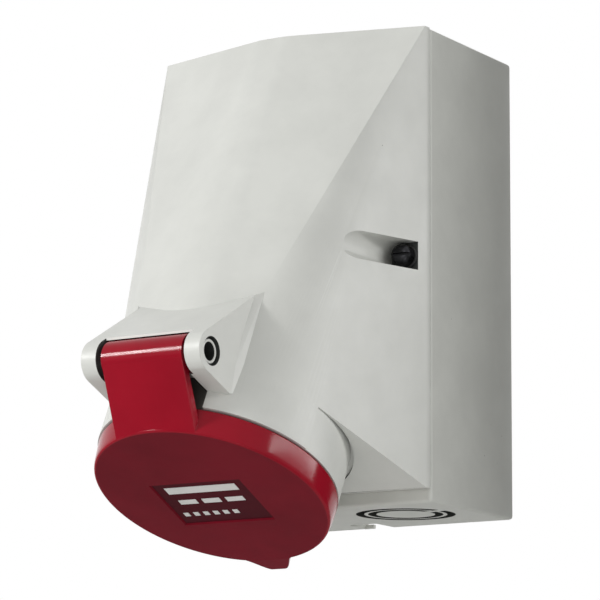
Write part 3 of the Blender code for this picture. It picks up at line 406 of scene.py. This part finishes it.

# %% [markdown]
# The nose's skin reaches down in front of the collar and stands half a millimetre proud of it, which
# gives the fine step line beside the lid. A round recess in the underside, a little behind the
# collar's axis, leaves a gap that widens towards the back; its faces are painted near-black as shade
# further down. The hinge wedge is a hull of the ear's outline, and a narrow fillet, wider than the ear,
# runs down each of its sides where it meets the nose.

# %% Recess, skirt and collar
GAP_Y, GAP_RADIUS, GAP_ROOF = 0.0016, COLLAR_RADIUS + 0.0004, UNDERSIDE + 0.0018
COLLAR_BASE = NOSE_TOP - 0.004
work(hood, make("shadow_gap", on_axis(UNDERSIDE - 0.004, GAP_ROOF, GAP_RADIUS, 192, y=GAP_Y)))
skirt_points = []
for x, y in arc(NOSE_RADIUS, CREASE_ANGLE + 0.6, 179.4 - CREASE_ANGLE, 64):
    skirt_points += [at_outlet(x, y, COLLAR_MOUTH / 2), at_outlet(x, y, COLLAR_BASE)]
skirt_shape = hull(skirt_points)
skins.append(BVHTree.FromBMesh(skirt_shape))
work(hood, make("nose_skirt", skirt_shape), "UNION")
work(hood, make("collar", on_axis(COLLAR_MOUTH / 3, COLLAR_BASE, COLLAR_RADIUS, 192)), "UNION")
work(hood, make("mouth", on_axis(-0.004, COLLAR_MOUTH, 2 * NOSE_RADIUS)))

# %% Hinge wedge with a fillet down each side
slope = math.radians(28.8)
along, upward = Vector((0, math.cos(slope), math.sin(slope))), Vector((0, -math.sin(slope), math.cos(slope)))
EAR_RADIUS, EAR_OUTER, EAR_INNER = 0.00695, 0.0226, 0.0168
foot = Vector((0, HINGE.y + 0.0106, HINGE.z - 0.0121))
under = Vector((0, 0.05, 0.0121)).normalized()
outline = [HINGE + EAR_RADIUS * upward + along * 0.09, foot, foot + 0.05 * under]
for step in range(48):
    angle = 2 * math.pi * step / 48 + slope
    outline.append(HINGE + EAR_RADIUS * Vector((0, math.cos(angle), math.sin(angle))))
lug_points = [Vector((side * EAR_OUTER, p.y, p.z)) for p in outline for side in (-1, 1)]
lug = make("hinge_wedge", hull(lug_points, bevel=0.0006, segments=2, sharper_than=40))
work(hood, lug, "UNION")


def on_skin(x, height):
    """Where a line in the wedge's side, from its foot (0) to its top (1), meets the hood's skin."""
    start = foot.lerp(HINGE + EAR_RADIUS * upward, height)
    heading = under.lerp(along, height).normalized()
    begin = Vector((x, start.y, start.z)) - 0.02 * heading
    spots = [spot for spot, _, _, _ in (skin.ray_cast(begin, heading) for skin in skins) if spot]
    return min(spots, key=lambda spot: (spot - begin).length), heading


for side in (-1, 1):
    strip_points = []
    for height, wide, deep in ((0.0, 0.0002, 0.0004), (0.35, 0.0010, 0.0030), (0.7, 0.0015, 0.0036),
                               (1.0, 0.0019, 0.0022)):
        outer, heading = on_skin(side * (EAR_OUTER + wide), height)
        corner, heading = on_skin(side * EAR_OUTER, height)
        inside = Vector((-side * 0.002, 0.003, 0)) + heading * 0.001
        strip_points += [outer, corner - deep * heading, corner + inside, outer + inside]
    work(hood, make("wedge_fillet", hull(strip_points)), "UNION")
print("hood additions:", len(hood.modifiers))

# %% Core of the hood: the room behind it, the bore, the ledge and the keyway
room = make("hood_room", hull(hood_points(HOOD_WALL, 40)))
POCKET_END, POCKET_HALF, POCKET_ROUND, POCKET_FLAT = 0.0412, 0.00475, 0.0034, 0.00135
FAR_IN_FRONT = -0.2


def pocket(side, wall, floor):
    """The rounded channel to a cover screw, open at the hood's side, grown by a wall."""
    radius = POCKET_ROUND + wall
    section = [(2 * BOX_HALF, POCKET_HALF + wall)]
    for step in range(17):
        angle = math.pi * step / 32
        section.append((POCKET_END + POCKET_ROUND - radius * math.sin(angle),
                        POCKET_FLAT + radius * math.cos(angle)))
    return hull([Vector((side * x, y, SCREW_Z + up * z))
                 for y in (floor, FAR_IN_FRONT) for x, z in section for up in (1, -1)])


for side in (-1, 1):
    work(room, make("pocket_wall", pocket(side, 0.002, HOOD_BACK + 0.016)))
work(hood, settle(room))
work(hood, make("collar_tube", on_axis(COLLAR_MOUTH + 0.004, LEDGE_TOP, BORE_RADIUS + 0.003, 128)),
     "UNION")
work(hood, make("bore", on_axis(-0.004, LEDGE_BASE, BORE_RADIUS, 160)))
work(hood, make("ledge_opening", on_axis(0.038, 0.052, 0.0273, 128)))
work(hood, make("keyway", block((-0.0045, 0.0165, -0.004), (0.0045, BORE_RADIUS + 0.0022, LEDGE_BASE),
                                place=OUTLET)))

# %% Cuts for the hinge, the arm and the screw pockets
ARM_ROOM, ARM_ROOM_BACK, BARREL_ROOM = 0.0158, -0.0362, 0.0066
SINK_RADIUS, SINK_DEPTH = 0.0047, 0.0018
reach = Vector((EAR_OUTER + 0.004, 0, 0))
work(hood, make("pin_hole", across_hinge(reach.x, PIN_HOLE, 64)))
work(hood, make("barrel_room", across_hinge(EAR_INNER, BARREL_ROOM)))
work(hood, make("arm_room", block((-ARM_ROOM, -0.0984, -0.004), (ARM_ROOM, ARM_ROOM_BACK, HINGE_AT[2]),
                                  place=OUTLET)))
work(hood, make("swing_room", block((-EAR_INNER, HINGE.y - 0.05, HINGE.z - EAR_RADIUS),
                                    (EAR_INNER, HINGE.y - 0.0013, HINGE.z + 0.021))))
for side in (-1, 1):
    sunk = Vector((EAR_OUTER - SINK_DEPTH, 0, 0))
    work(hood, make("pin_sink", rod(HINGE + side * sunk, HINGE + side * reach, SINK_RADIUS, 96)))
    work(hood, make("screw_pocket", pocket(side, 0.0, POCKET_FLOOR)))
    work(hood, make("screw_hole", level_rod(side * SCREW_X, SCREW_Z, POCKET_FLOOR - 0.004,
                                            HOOD_BACK + 0.004, SCREW_HOLE, 32)))
settle(hood)

# %% Painted shade in the hood's narrow gaps
def shade_where(piece, look, test):
    """Give a second finish to the faces that a test picks by their place and their normal."""
    piece.data.materials.append(look)
    number = len(piece.data.materials) - 1
    picked = 0
    for face in piece.data.polygons:
        if test(face.center, face.normal):
            face.material_index = number
            picked += 1
    print(piece.name, look.name, "faces:", picked)


def in_hood_gap(centre, normal):
    """Faces painted as shade: the pin's sink, the barrel's room, the ears' inner sides, the shadow gap, the
    pockets.
    """
    local = OUTLET.inverted() @ centre
    near_pin = math.hypot(centre.y - HINGE.y, centre.z - HINGE.z)
    if near_pin < SINK_RADIUS + 0.0001 and abs(centre.x) < EAR_OUTER - 0.0001:
        return True
    in_room = abs(near_pin - BARREL_ROOM) < 0.0003 and abs(centre.x) < EAR_INNER
    if in_room or (abs(normal.x) > 0.9 and near_pin < 0.0160 and abs(centre.x) < EAR_INNER + 0.0001):
        return True
    if ARM_ROOM - 0.0001 < abs(centre.x) < EAR_INNER + 0.0001 and near_pin < 0.0110:
        return True
    from_axis = math.hypot(local.x, local.y - GAP_Y)
    at_gap = UNDERSIDE - 0.001 < local.z < UNDERSIDE + 0.0019 and local.y > -CREASE
    if at_gap and from_axis < COLLAR_RADIUS + 0.0005:
        return from_axis > COLLAR_RADIUS - 0.0030 and local.z > UNDERSIDE - 0.0002
    return abs(centre.y - POCKET_FLOOR) < 0.0001 and abs(centre.z - SCREW_Z) < 0.0049


def behind_arm(centre, normal):
    """The flat behind the lid's arm, painted dark grey as shade."""
    local = OUTLET.inverted() @ centre
    on_flat = abs(local.y - ARM_ROOM_BACK) < 0.0002 and abs(centre.x) < ARM_ROOM
    return on_flat and COLLAR_MOUTH < local.z < HINGE_AT[2] + 0.0002


finish(hood, HOOD_GREY, "housing", ["hood"])
# Painted shade: near-black on the hinge gaps, the ears' inner sides, the shadow gap and the pocket floors.
shade_where(hood, HOOD_PAINTED_SHADE, in_hood_gap)
# Painted shade: a dark grey on the flat behind the lid's arm.
shade_where(hood, HOOD_RECESS_SHADE, behind_arm)
for edge in hood.data.edges:
    if all(abs(abs(hood.data.vertices[end].co.x) - EAR_OUTER) < 1e-6 for end in edge.vertices):
        edge.use_edge_sharp = True

# %% [markdown]
# ## The back box
#
# The box is a plain moulding with a rounded outer edge. Its bottom and its top wall have two cable
# entries each: thinned rings that a hammer knocks out, one inside the other, each crossed by a web. A
# notch in the back edge lets a cable in from below, and a small tongue stands in it. The box begins as
# a bevelled cube, and everything else is cut or added with the same few tools as the hood.

# %% Back box with pillars, fixings, entries and the notch
IN_BACK, IN_SIDE, IN_BOTTOM = -0.0015, 0.0507, -0.0787  # half way into a wall, where added blocks begin
ROOM_HALF, ROOM_HEIGHT, ROOM_BACK = 0.0494, 0.0774, -0.003
FIXING_X, FIXING_Z, FIXING_HOLE = 0.038, 0.062, 0.00325

box = make("back_box_shell", block((-BOX_HALF, SEAM, BOX_BOTTOM), (BOX_HALF, 0, BOX_TOP), bevel=0.0012))
work(box, make("box_room", block((-ROOM_HALF, SEAM - 0.004, -ROOM_HEIGHT),
                                 (ROOM_HALF, ROOM_BACK, ROOM_HEIGHT), bevel=0.0008)))
work(box, make("sill", block((-IN_SIDE, SEAM, IN_BOTTOM), (IN_SIDE, SEAM + 0.004, SILL_TOP))), "UNION")
for side in (-1, 1):
    x = side * SCREW_X
    work(box, make("pillar", level_rod(x, SCREW_Z, IN_BACK, SEAM, 0.0037)), "UNION")
    work(box, make("pillar_bore", level_rod(x, SCREW_Z, SEAM - 0.004, -0.0243, SCREW_HOLE, 32)))
    for height in (-FIXING_Z, FIXING_Z):
        x = side * FIXING_X
        work(box, make("boss", level_rod(x, height, IN_BACK, -0.006, 0.006)), "UNION")
        work(box, make("boss_hole", level_rod(x, height, 0.004, -0.010, FIXING_HOLE, 48)))

work(box, make("notch_roof", block((-0.0081, -0.0161, IN_BOTTOM), (0.0081, IN_BACK, -0.0734))), "UNION")
work(box, make("notch", block((-0.0055, -0.0135, -0.084), (0.0055, 0.004, -0.076), bevel=0.0006)))
work(box, make("tongue", block((-0.0068, -0.0018, BOX_BOTTOM), (-0.0024, -0.0001, -0.0786),
                               bevel=0.0003)), "UNION")

ENTRY_X, ENTRY_Y = 0.028, -0.032
ENTRY_RINGS, GROOVE_WIDTH = (0.0168, 0.0127), 0.0028


def entry(side, height, up):
    """Two ring grooves, each crossed by a web that keeps the middle in place."""
    centre = Matrix.Translation((side * ENTRY_X, ENTRY_Y, height))
    low, high = sorted((-up * 0.004, up * 0.0020))
    for outer in ENTRY_RINGS:
        inner = outer - GROOVE_WIDTH
        groove = make("entry_groove", turn([(inner, high), (outer, high), (outer, low), (inner, low)],
                                           centre, closed=True, steps=96))
        turned = math.radians(-14 if side > 0 else 194)
        web = block((0, -0.0015, -0.008), (2 * outer, 0.0015, 0.008),
                    place=centre @ Matrix.Rotation(turned, 4, "Z"))
        work(groove, make("entry_web", web))
        work(box, settle(groove))


for side in (-1, 1):
    entry(side, BOX_BOTTOM, 1)
    entry(side, BOX_TOP, -1)
settle(box)
finish(box, BOX_GREY, "housing", ["back_box"])


def in_entry_groove(centre, normal):
    """Faces of the ring grooves, below the outer skin of the top and bottom walls, painted near-black as
    shade.
    """
    from_centre = math.hypot(abs(centre.x) - ENTRY_X, centre.y - ENTRY_Y)
    depth = BOX_TOP - abs(centre.z)
    return 0.0001 < depth < 0.0021 and from_centre < ENTRY_RINGS[0] + 0.0001


# Painted shade: the entry grooves get a near-black finish.
shade_where(box, BOX_PAINTED_SHADE, in_entry_groove)

# %% [markdown]
# ## The lid
#
# The lid is a shallow cup. Its rim flares a little from the face, with a crisp edge between them that
# catches a thin line of light. A flat arm leans from the hinge barrel down to the face and runs out
# into its round edge, so it is lofted from a line on the barrel to an arc on the face. A lifting tab
# stands out on the far side: a round lobe that flows out of the rim in two hollow curves. The cup is a
# spun profile, the tab an extruded outline, and all are joined into one moulding.

# %% Cup and arm
FACE_RADIUS, RIM_RADIUS, RIM_HEIGHT = 0.0392, 0.0400, 0.0086
ARM_HALF, ARM_THICK, BARREL = 0.0153, 0.0026, 0.0062
ARM_FRAME = HINGE_FRAME @ Matrix.Rotation(math.radians(45), 4, "X")

lid = make("lid_moulding", turn([
    (0, RIM_HEIGHT), (RIM_RADIUS - 0.0005, RIM_HEIGHT), (RIM_RADIUS - 0.00015, RIM_HEIGHT - 0.00015),
    (RIM_RADIUS, RIM_HEIGHT - 0.0005), (FACE_RADIUS + 0.00022, 0.0016), (FACE_RADIUS + 0.00004, 0.0007),
    (FACE_RADIUS - 0.0001, 0.00035), (FACE_RADIUS - 0.00035, 0.0001), (FACE_RADIUS - 0.0007, 0), (0, 0)],
    OUTLET, steps=192))

arm = bmesh.new()
stations = []
for step in range(33):
    x = ARM_HALF * (step - 16) / 16
    y = -math.sqrt((FACE_RADIUS - 0.0001) ** 2 - x * x)
    corners = [ARM_FRAME @ Vector((x, -BARREL + 0.00002, 0)), at_outlet(x, y, 0.0005),
               at_outlet(x, y + 0.0045, 0.0006), ARM_FRAME @ Vector((x, -BARREL + ARM_THICK, 0))]
    section = [arm.verts.new(corner) for corner in corners]
    stations.append([arm.edges.new((section[i], section[(i + 1) % 4])) for i in range(4)])
for first, second in zip(stations, stations[1:]):
    bmesh.ops.bridge_loops(arm, edges=first + second)
bmesh.ops.contextual_create(arm, geom=stations[0])
bmesh.ops.contextual_create(arm, geom=stations[-1])
bmesh.ops.recalc_face_normals(arm, faces=arm.faces)
soften(arm, 0.00035, 2, sharper_than=50)
work(lid, make("arm", arm), "UNION")
work(lid, make("barrel", across_hinge(ARM_HALF, BARREL, 128)), "UNION")

# %% Tab
TAB_HALF, TAB_ROOT, TAB_REACH, TAB_HEIGHT = 0.0092, 0.034, 0.0455, 0.0046
TAB_BEND, TAB_RISE = 0.0386, 0.09
outline = [(-TAB_HALF, TAB_ROOT)]
for step in range(41):
    x = TAB_HALF * (step - 20) / 20
    rise = min(1.0, 1.35 * (1 - abs(x) / TAB_HALF))
    base = math.sqrt((FACE_RADIUS - 0.0002) ** 2 - x * x)
    outline.append((x, base + (TAB_REACH - base) * rise * rise * (3 - 2 * rise)))
outline.append((TAB_HALF, TAB_ROOT))
tab = bmesh.new()
low_face = tab.faces.new([tab.verts.new((x, y, 0.00001)) for x, y in outline])
grown = bmesh.ops.extrude_face_region(tab, geom=[low_face])["geom"]
raised = [v for v in grown if isinstance(v, bmesh.types.BMVert)]
bmesh.ops.translate(tab, vec=(0, 0, TAB_HEIGHT), verts=raised)
bmesh.ops.recalc_face_normals(tab, faces=tab.faces)
bmesh.ops.bisect_plane(tab, geom=tab.verts[:] + tab.edges[:] + tab.faces[:], plane_co=(0, TAB_BEND, 0),
                       plane_no=(0, 1, 0))
for corner in tab.verts:
    corner.co.z += max(0.0, corner.co.y - TAB_BEND) * TAB_RISE
soften(tab, 0.0005, 3, sharper_than=60)
tab.transform(OUTLET)
work(lid, make("tab", tab), "UNION")

# %% Rooms inside the lid, and the sunk panel
CUP_RADIUS, CUP_FLOOR = 0.0380, 0.0024
SPRING_HALF, SPRING_RADIUS = 0.006, 0.0055
PANEL_LEFT, PANEL_RIGHT, PANEL_NEAR, PANEL_FAR, PANEL_FLOOR = -0.0182, 0.0156, -0.0090, 0.0142, 0.0005

work(lid, make("cup_room", on_axis(CUP_FLOOR, COLLAR_MOUTH, CUP_RADIUS, 160)))
work(lid, make("lid_pin_hole", across_hinge(EAR_OUTER, PIN_HOLE, 64)))
work(lid, make("spring_bore", across_hinge(SPRING_HALF, SPRING_RADIUS, 64)))
work(lid, make("spring_room", block((-SPRING_HALF, -SPRING_RADIUS, -0.013), (SPRING_HALF, 0.0124, 0),
                                    place=ARM_FRAME)))
panel_points = [at_outlet(x, y, height) for height, wider in ((PANEL_FLOOR, 0.0), (-0.0004, 0.0008))
                for x in (PANEL_LEFT - wider, PANEL_RIGHT + wider)
                for y in (PANEL_NEAR - wider, PANEL_FAR + wider)]
work(lid, make("label_room", hull(panel_points)))
settle(lid)

# %% Satin on the lid's face, polish everywhere else
down = (OUTLET.to_3x3() @ Vector((0, 0, -1))).normalized()


def on_face(centre, normal):
    """The lid's flat face and the tab's low side."""
    local = OUTLET.inverted() @ centre
    return normal.dot(down) > 0.6 and local.z < 0.0008 and (
        math.hypot(local.x, local.y) < FACE_RADIUS - 0.0006 or local.y > 0.033)


def on_panel_floor(centre, normal):
    """The floor of the sunk panel."""
    local = OUTLET.inverted() @ centre
    return abs(local.z - PANEL_FLOOR) < 0.00003 and abs(local.x) < 0.019 and abs(local.y) < 0.0155


finish(lid, LID_GLOSS, "lid", ["lid"])
shade_where(lid, LID_SATIN, on_face)
shade_where(lid, LID_PANEL, on_panel_floor)

# %% [markdown]
# The sunk panel in the lid's face is where such a lid carries its marking. Here it holds a plain
# generic print: a long bar, three short ones and a row of six dots, which say nothing. Each mark is a
# very thin plate on the panel's floor, so it keeps a crisp edge in every view.

# %% Generic print on the panel
MARK_BASE, MARK_FACE = 0.00038, 0.00052
marks = bmesh.new()


def add_mark(x, y, width, length):
    """One printed bar on the floor of the panel."""
    part = block((x - width / 2, y - length / 2, MARK_BASE), (x + width / 2, y + length / 2, MARK_FACE),
                 place=OUTLET)
    mesh = bpy.data.meshes.new("mark")
    part.to_mesh(mesh)
    part.free()
    marks.from_mesh(mesh)
    bpy.data.meshes.remove(mesh)


add_mark(-0.0010, -0.0050, 0.0270, 0.0036)
for step in range(3):
    add_mark(-0.0100 + 0.0090 * step, 0.0018, 0.0068, 0.0024)
for step in range(6):
    add_mark(-0.0148 + 0.0038 * step, 0.0090, 0.0020, 0.0020)
panel_print = make("panel_print", marks)
finish(panel_print, PRINT, "lid", weighted=False)

# %% [markdown]
# ## Pin, screws and the pieces behind the lid
#
# The hinge pin is bored at both ends, and its end sits just inside the ear, in a sunk ring. The bore and
# the ring's faces are painted near-black as shade. The cover screws are dark and slotted. The carrier,
# the sleeves and the seals keep their CAD shape, which is right, and get their finish here.

# %% Hinge pin and cover screws
sideways = HINGE_FRAME @ Matrix.Rotation(math.pi / 2, 4, "Y")
PIN_END, PIN_FLOOR = 0.0218, 0.0138
half_pin = [(0.0, PIN_FLOOR), (0.0030, PIN_FLOOR), (0.0030, PIN_END - 0.0002), (0.0032, PIN_END),
            (0.0037, PIN_END), (0.0039, PIN_END - 0.0002)]
pin = make("hinge_pin_tube", turn(half_pin + [(radius, -height) for radius, height in reversed(half_pin)],
                                  sideways, steps=96))
finish(pin, HOOD_GREY, "housing", ["hinge_pin"])
# Painted shade: the pin's bore gets the near-black finish.
shade_where(pin, HOOD_PAINTED_SHADE, lambda centre, normal: abs(centre.x) < PIN_END - 0.0003
            and math.hypot(centre.y - HINGE.y, centre.z - HINGE.z) < 0.00305)

for name, side in (("left", -1), ("right", 1)):
    place = Matrix.Translation((side * SCREW_X, POCKET_FLOOR, SCREW_Z)) @ Matrix.Rotation(math.pi / 2, 4, "X")
    screw = make("cover_screw_head_" + name, turn([
        (0, 0.0058), (0.0022, 0.0057), (0.0030, 0.0053), (0.0035, 0.0047), (0.0036, 0.0040), (0.0036, 0.0016),
        (0.0017, 0.0016), (0.0017, -0.0374), (0, -0.0391)], place, steps=48))
    work(screw, make("drive_slot", block((-0.0072, -0.0005, 0.0044), (0.0072, 0.0005, 0.0098), place=place)))
    settle(screw)
    finish(screw, DARK_STEEL, "housing", ["cover_screw_" + name])

# %% Finishes of the CAD pieces that stay
LOOKS = {"contact_carrier": CARRIER_BLACK, "carrier_back_plate": CARRIER_BLACK, "box_seal": RUBBER,
         "lid_gasket": RUBBER, "carrier_seal": RUBBER, "lid_spring": ZINC}
REDRAWN = ("hood", "back_box", "lid", "hinge_pin", "cover_screw_left", "cover_screw_right")
kept = {name: piece for name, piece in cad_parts.items() if name not in REDRAWN}
for name, piece in kept.items():
    look = LOOKS.get(name)
    if look is None:
        look = BRASS if name.startswith("contact_sleeve") else RUBBER if "washer" in name else ZINC
    piece.data.materials.clear()
    piece.data.materials.append(look)
print("CAD pieces with a finish of their own:", len(kept))

# %% [markdown]
# ## Studio
#
# The socket hangs free against white. A tall bright light on the left lights the front and draws the
# white line on the lid's barrel, two broad dim ones fill the shade, and a long strip at the right rear
# lights the side and lies as a soft band on the lid's rim. A black card stands where the wall would be,
# beside the box: it keeps the strip off the rear of the side, which therefore darkens towards the wall.
# The world shows white to the camera and in reflections, and lights the object at a plain level.

# %% Floor, card and world
ground = make("studio_floor", block((-9, -9, -0.96), (9, 9, -0.95)))
ground.data.materials.append(moulded("floor_pale", (0.80, 0.80, 0.79), 0.6, spread=0.01, grain=0.0, flow=0.0))

card = make("black_card", block((0.056, 0.001, -0.11), (0.150, 0.003, 0.12)))
card.visible_camera = False
card.data.materials.append(moulded("card_black", (0.02, 0.02, 0.02), 0.8, spread=0.05, grain=0.0, flow=0.0))

world = bpy.data.worlds.new("studio")
bpy.context.scene.world = world
world.use_nodes = True
tree = world.node_tree
ambient = tree.nodes["Background"]
ambient.inputs["Color"].default_value = (0.90, 0.91, 0.90, 1)
ambient.inputs["Strength"].default_value = 0.31
white = tree.nodes.new("ShaderNodeBackground")
white.inputs["Color"].default_value = (1, 1, 1, 1)
white.inputs["Strength"].default_value = 1.0
path = tree.nodes.new("ShaderNodeLightPath")
shown = path.outputs["Is Camera Ray"]
for kind in ("Is Glossy Ray", "Is Transmission Ray"):
    either = tree.nodes.new("ShaderNodeMath")
    either.operation = "MAXIMUM"
    tree.links.new(shown, either.inputs[0])
    tree.links.new(path.outputs[kind], either.inputs[1])
    shown = either.outputs[0]
choose = tree.nodes.new("ShaderNodeMixShader")
tree.links.new(shown, choose.inputs["Fac"])
tree.links.new(ambient.outputs["Background"], choose.inputs[1])
tree.links.new(white.outputs["Background"], choose.inputs[2])
tree.links.new(choose.outputs["Shader"], tree.nodes["World Output"].inputs["Surface"])


# %% Lights
AIM = Vector((0, -0.06, 0))


def softbox(name, azimuth, elevation, distance, width, height, power, tilt=0.0):
    """A rectangular soft light that looks at the object; azimuth runs from the front to the right."""
    lamp = bpy.data.lights.new(name, "AREA")
    lamp.shape = "RECTANGLE"
    lamp.size, lamp.size_y, lamp.energy = width, height, power
    made = bpy.data.objects.new(name, lamp)
    collection.objects.link(made)
    made.visible_camera = False
    a, e = math.radians(azimuth), math.radians(elevation)
    towards = Vector((math.sin(a) * math.cos(e), -math.cos(a) * math.cos(e), math.sin(e)))
    facing = (-towards).to_track_quat("-Z", "Y").to_matrix().to_4x4()
    turned = facing @ Matrix.Rotation(math.radians(tilt), 4, "Z")
    made.matrix_world = Matrix.Translation(AIM + distance * towards) @ turned


softbox("key_left", -36, 20, 1.8, 0.26, 0.42, 18)
softbox("front_fill", -5, 10, 1.8, 0.9, 0.9, 5)
softbox("fill_right", 28, -34, 1.6, 0.7, 0.9, 4.2)
softbox("side_strip", 110, 13, 1.2, 1.20, 0.13, 6.9, tilt=-21)
print("studio ready")

# %% [markdown]
# ## Camera
#
# The photograph was taken from below and from the right with a long lens. These values come from
# fitting the box's edges, the lid's circles and the hood's outline to the photograph.

# %% Camera at the photograph's viewing angle
CAMERA_AT = (0.574628865, -0.977769508, -0.21000563)
FOCAL_PIXELS, PICTURE_PIXELS, SENSOR_MM = 3258.081, 600, 36.0
yaw, pitch, roll = 0.557045044, 0.184047401, 0.00541008154
forward = Vector((-math.sin(yaw) * math.cos(pitch), math.cos(yaw) * math.cos(pitch), math.sin(pitch)))
level = Vector((math.cos(yaw), math.sin(yaw), 0))
upright = level.cross(forward)
right = level * math.cos(roll) + upright * math.sin(roll)
top = -level * math.sin(roll) + upright * math.cos(roll)
camera = bpy.data.objects.new("camera", bpy.data.cameras.new("camera"))
collection.objects.link(camera)
turned = Matrix((right, top, -forward)).transposed().to_4x4()
camera.matrix_world = Matrix.Translation(CAMERA_AT) @ turned
camera.data.sensor_width = SENSOR_MM
camera.data.lens = FOCAL_PIXELS * SENSOR_MM / PICTURE_PIXELS
camera.data.clip_start, camera.data.clip_end = 0.05, 20
bpy.context.scene.camera = camera
bpy.context.scene.view_settings.view_transform = "Standard"
print("lens mm:", round(camera.data.lens, 1))
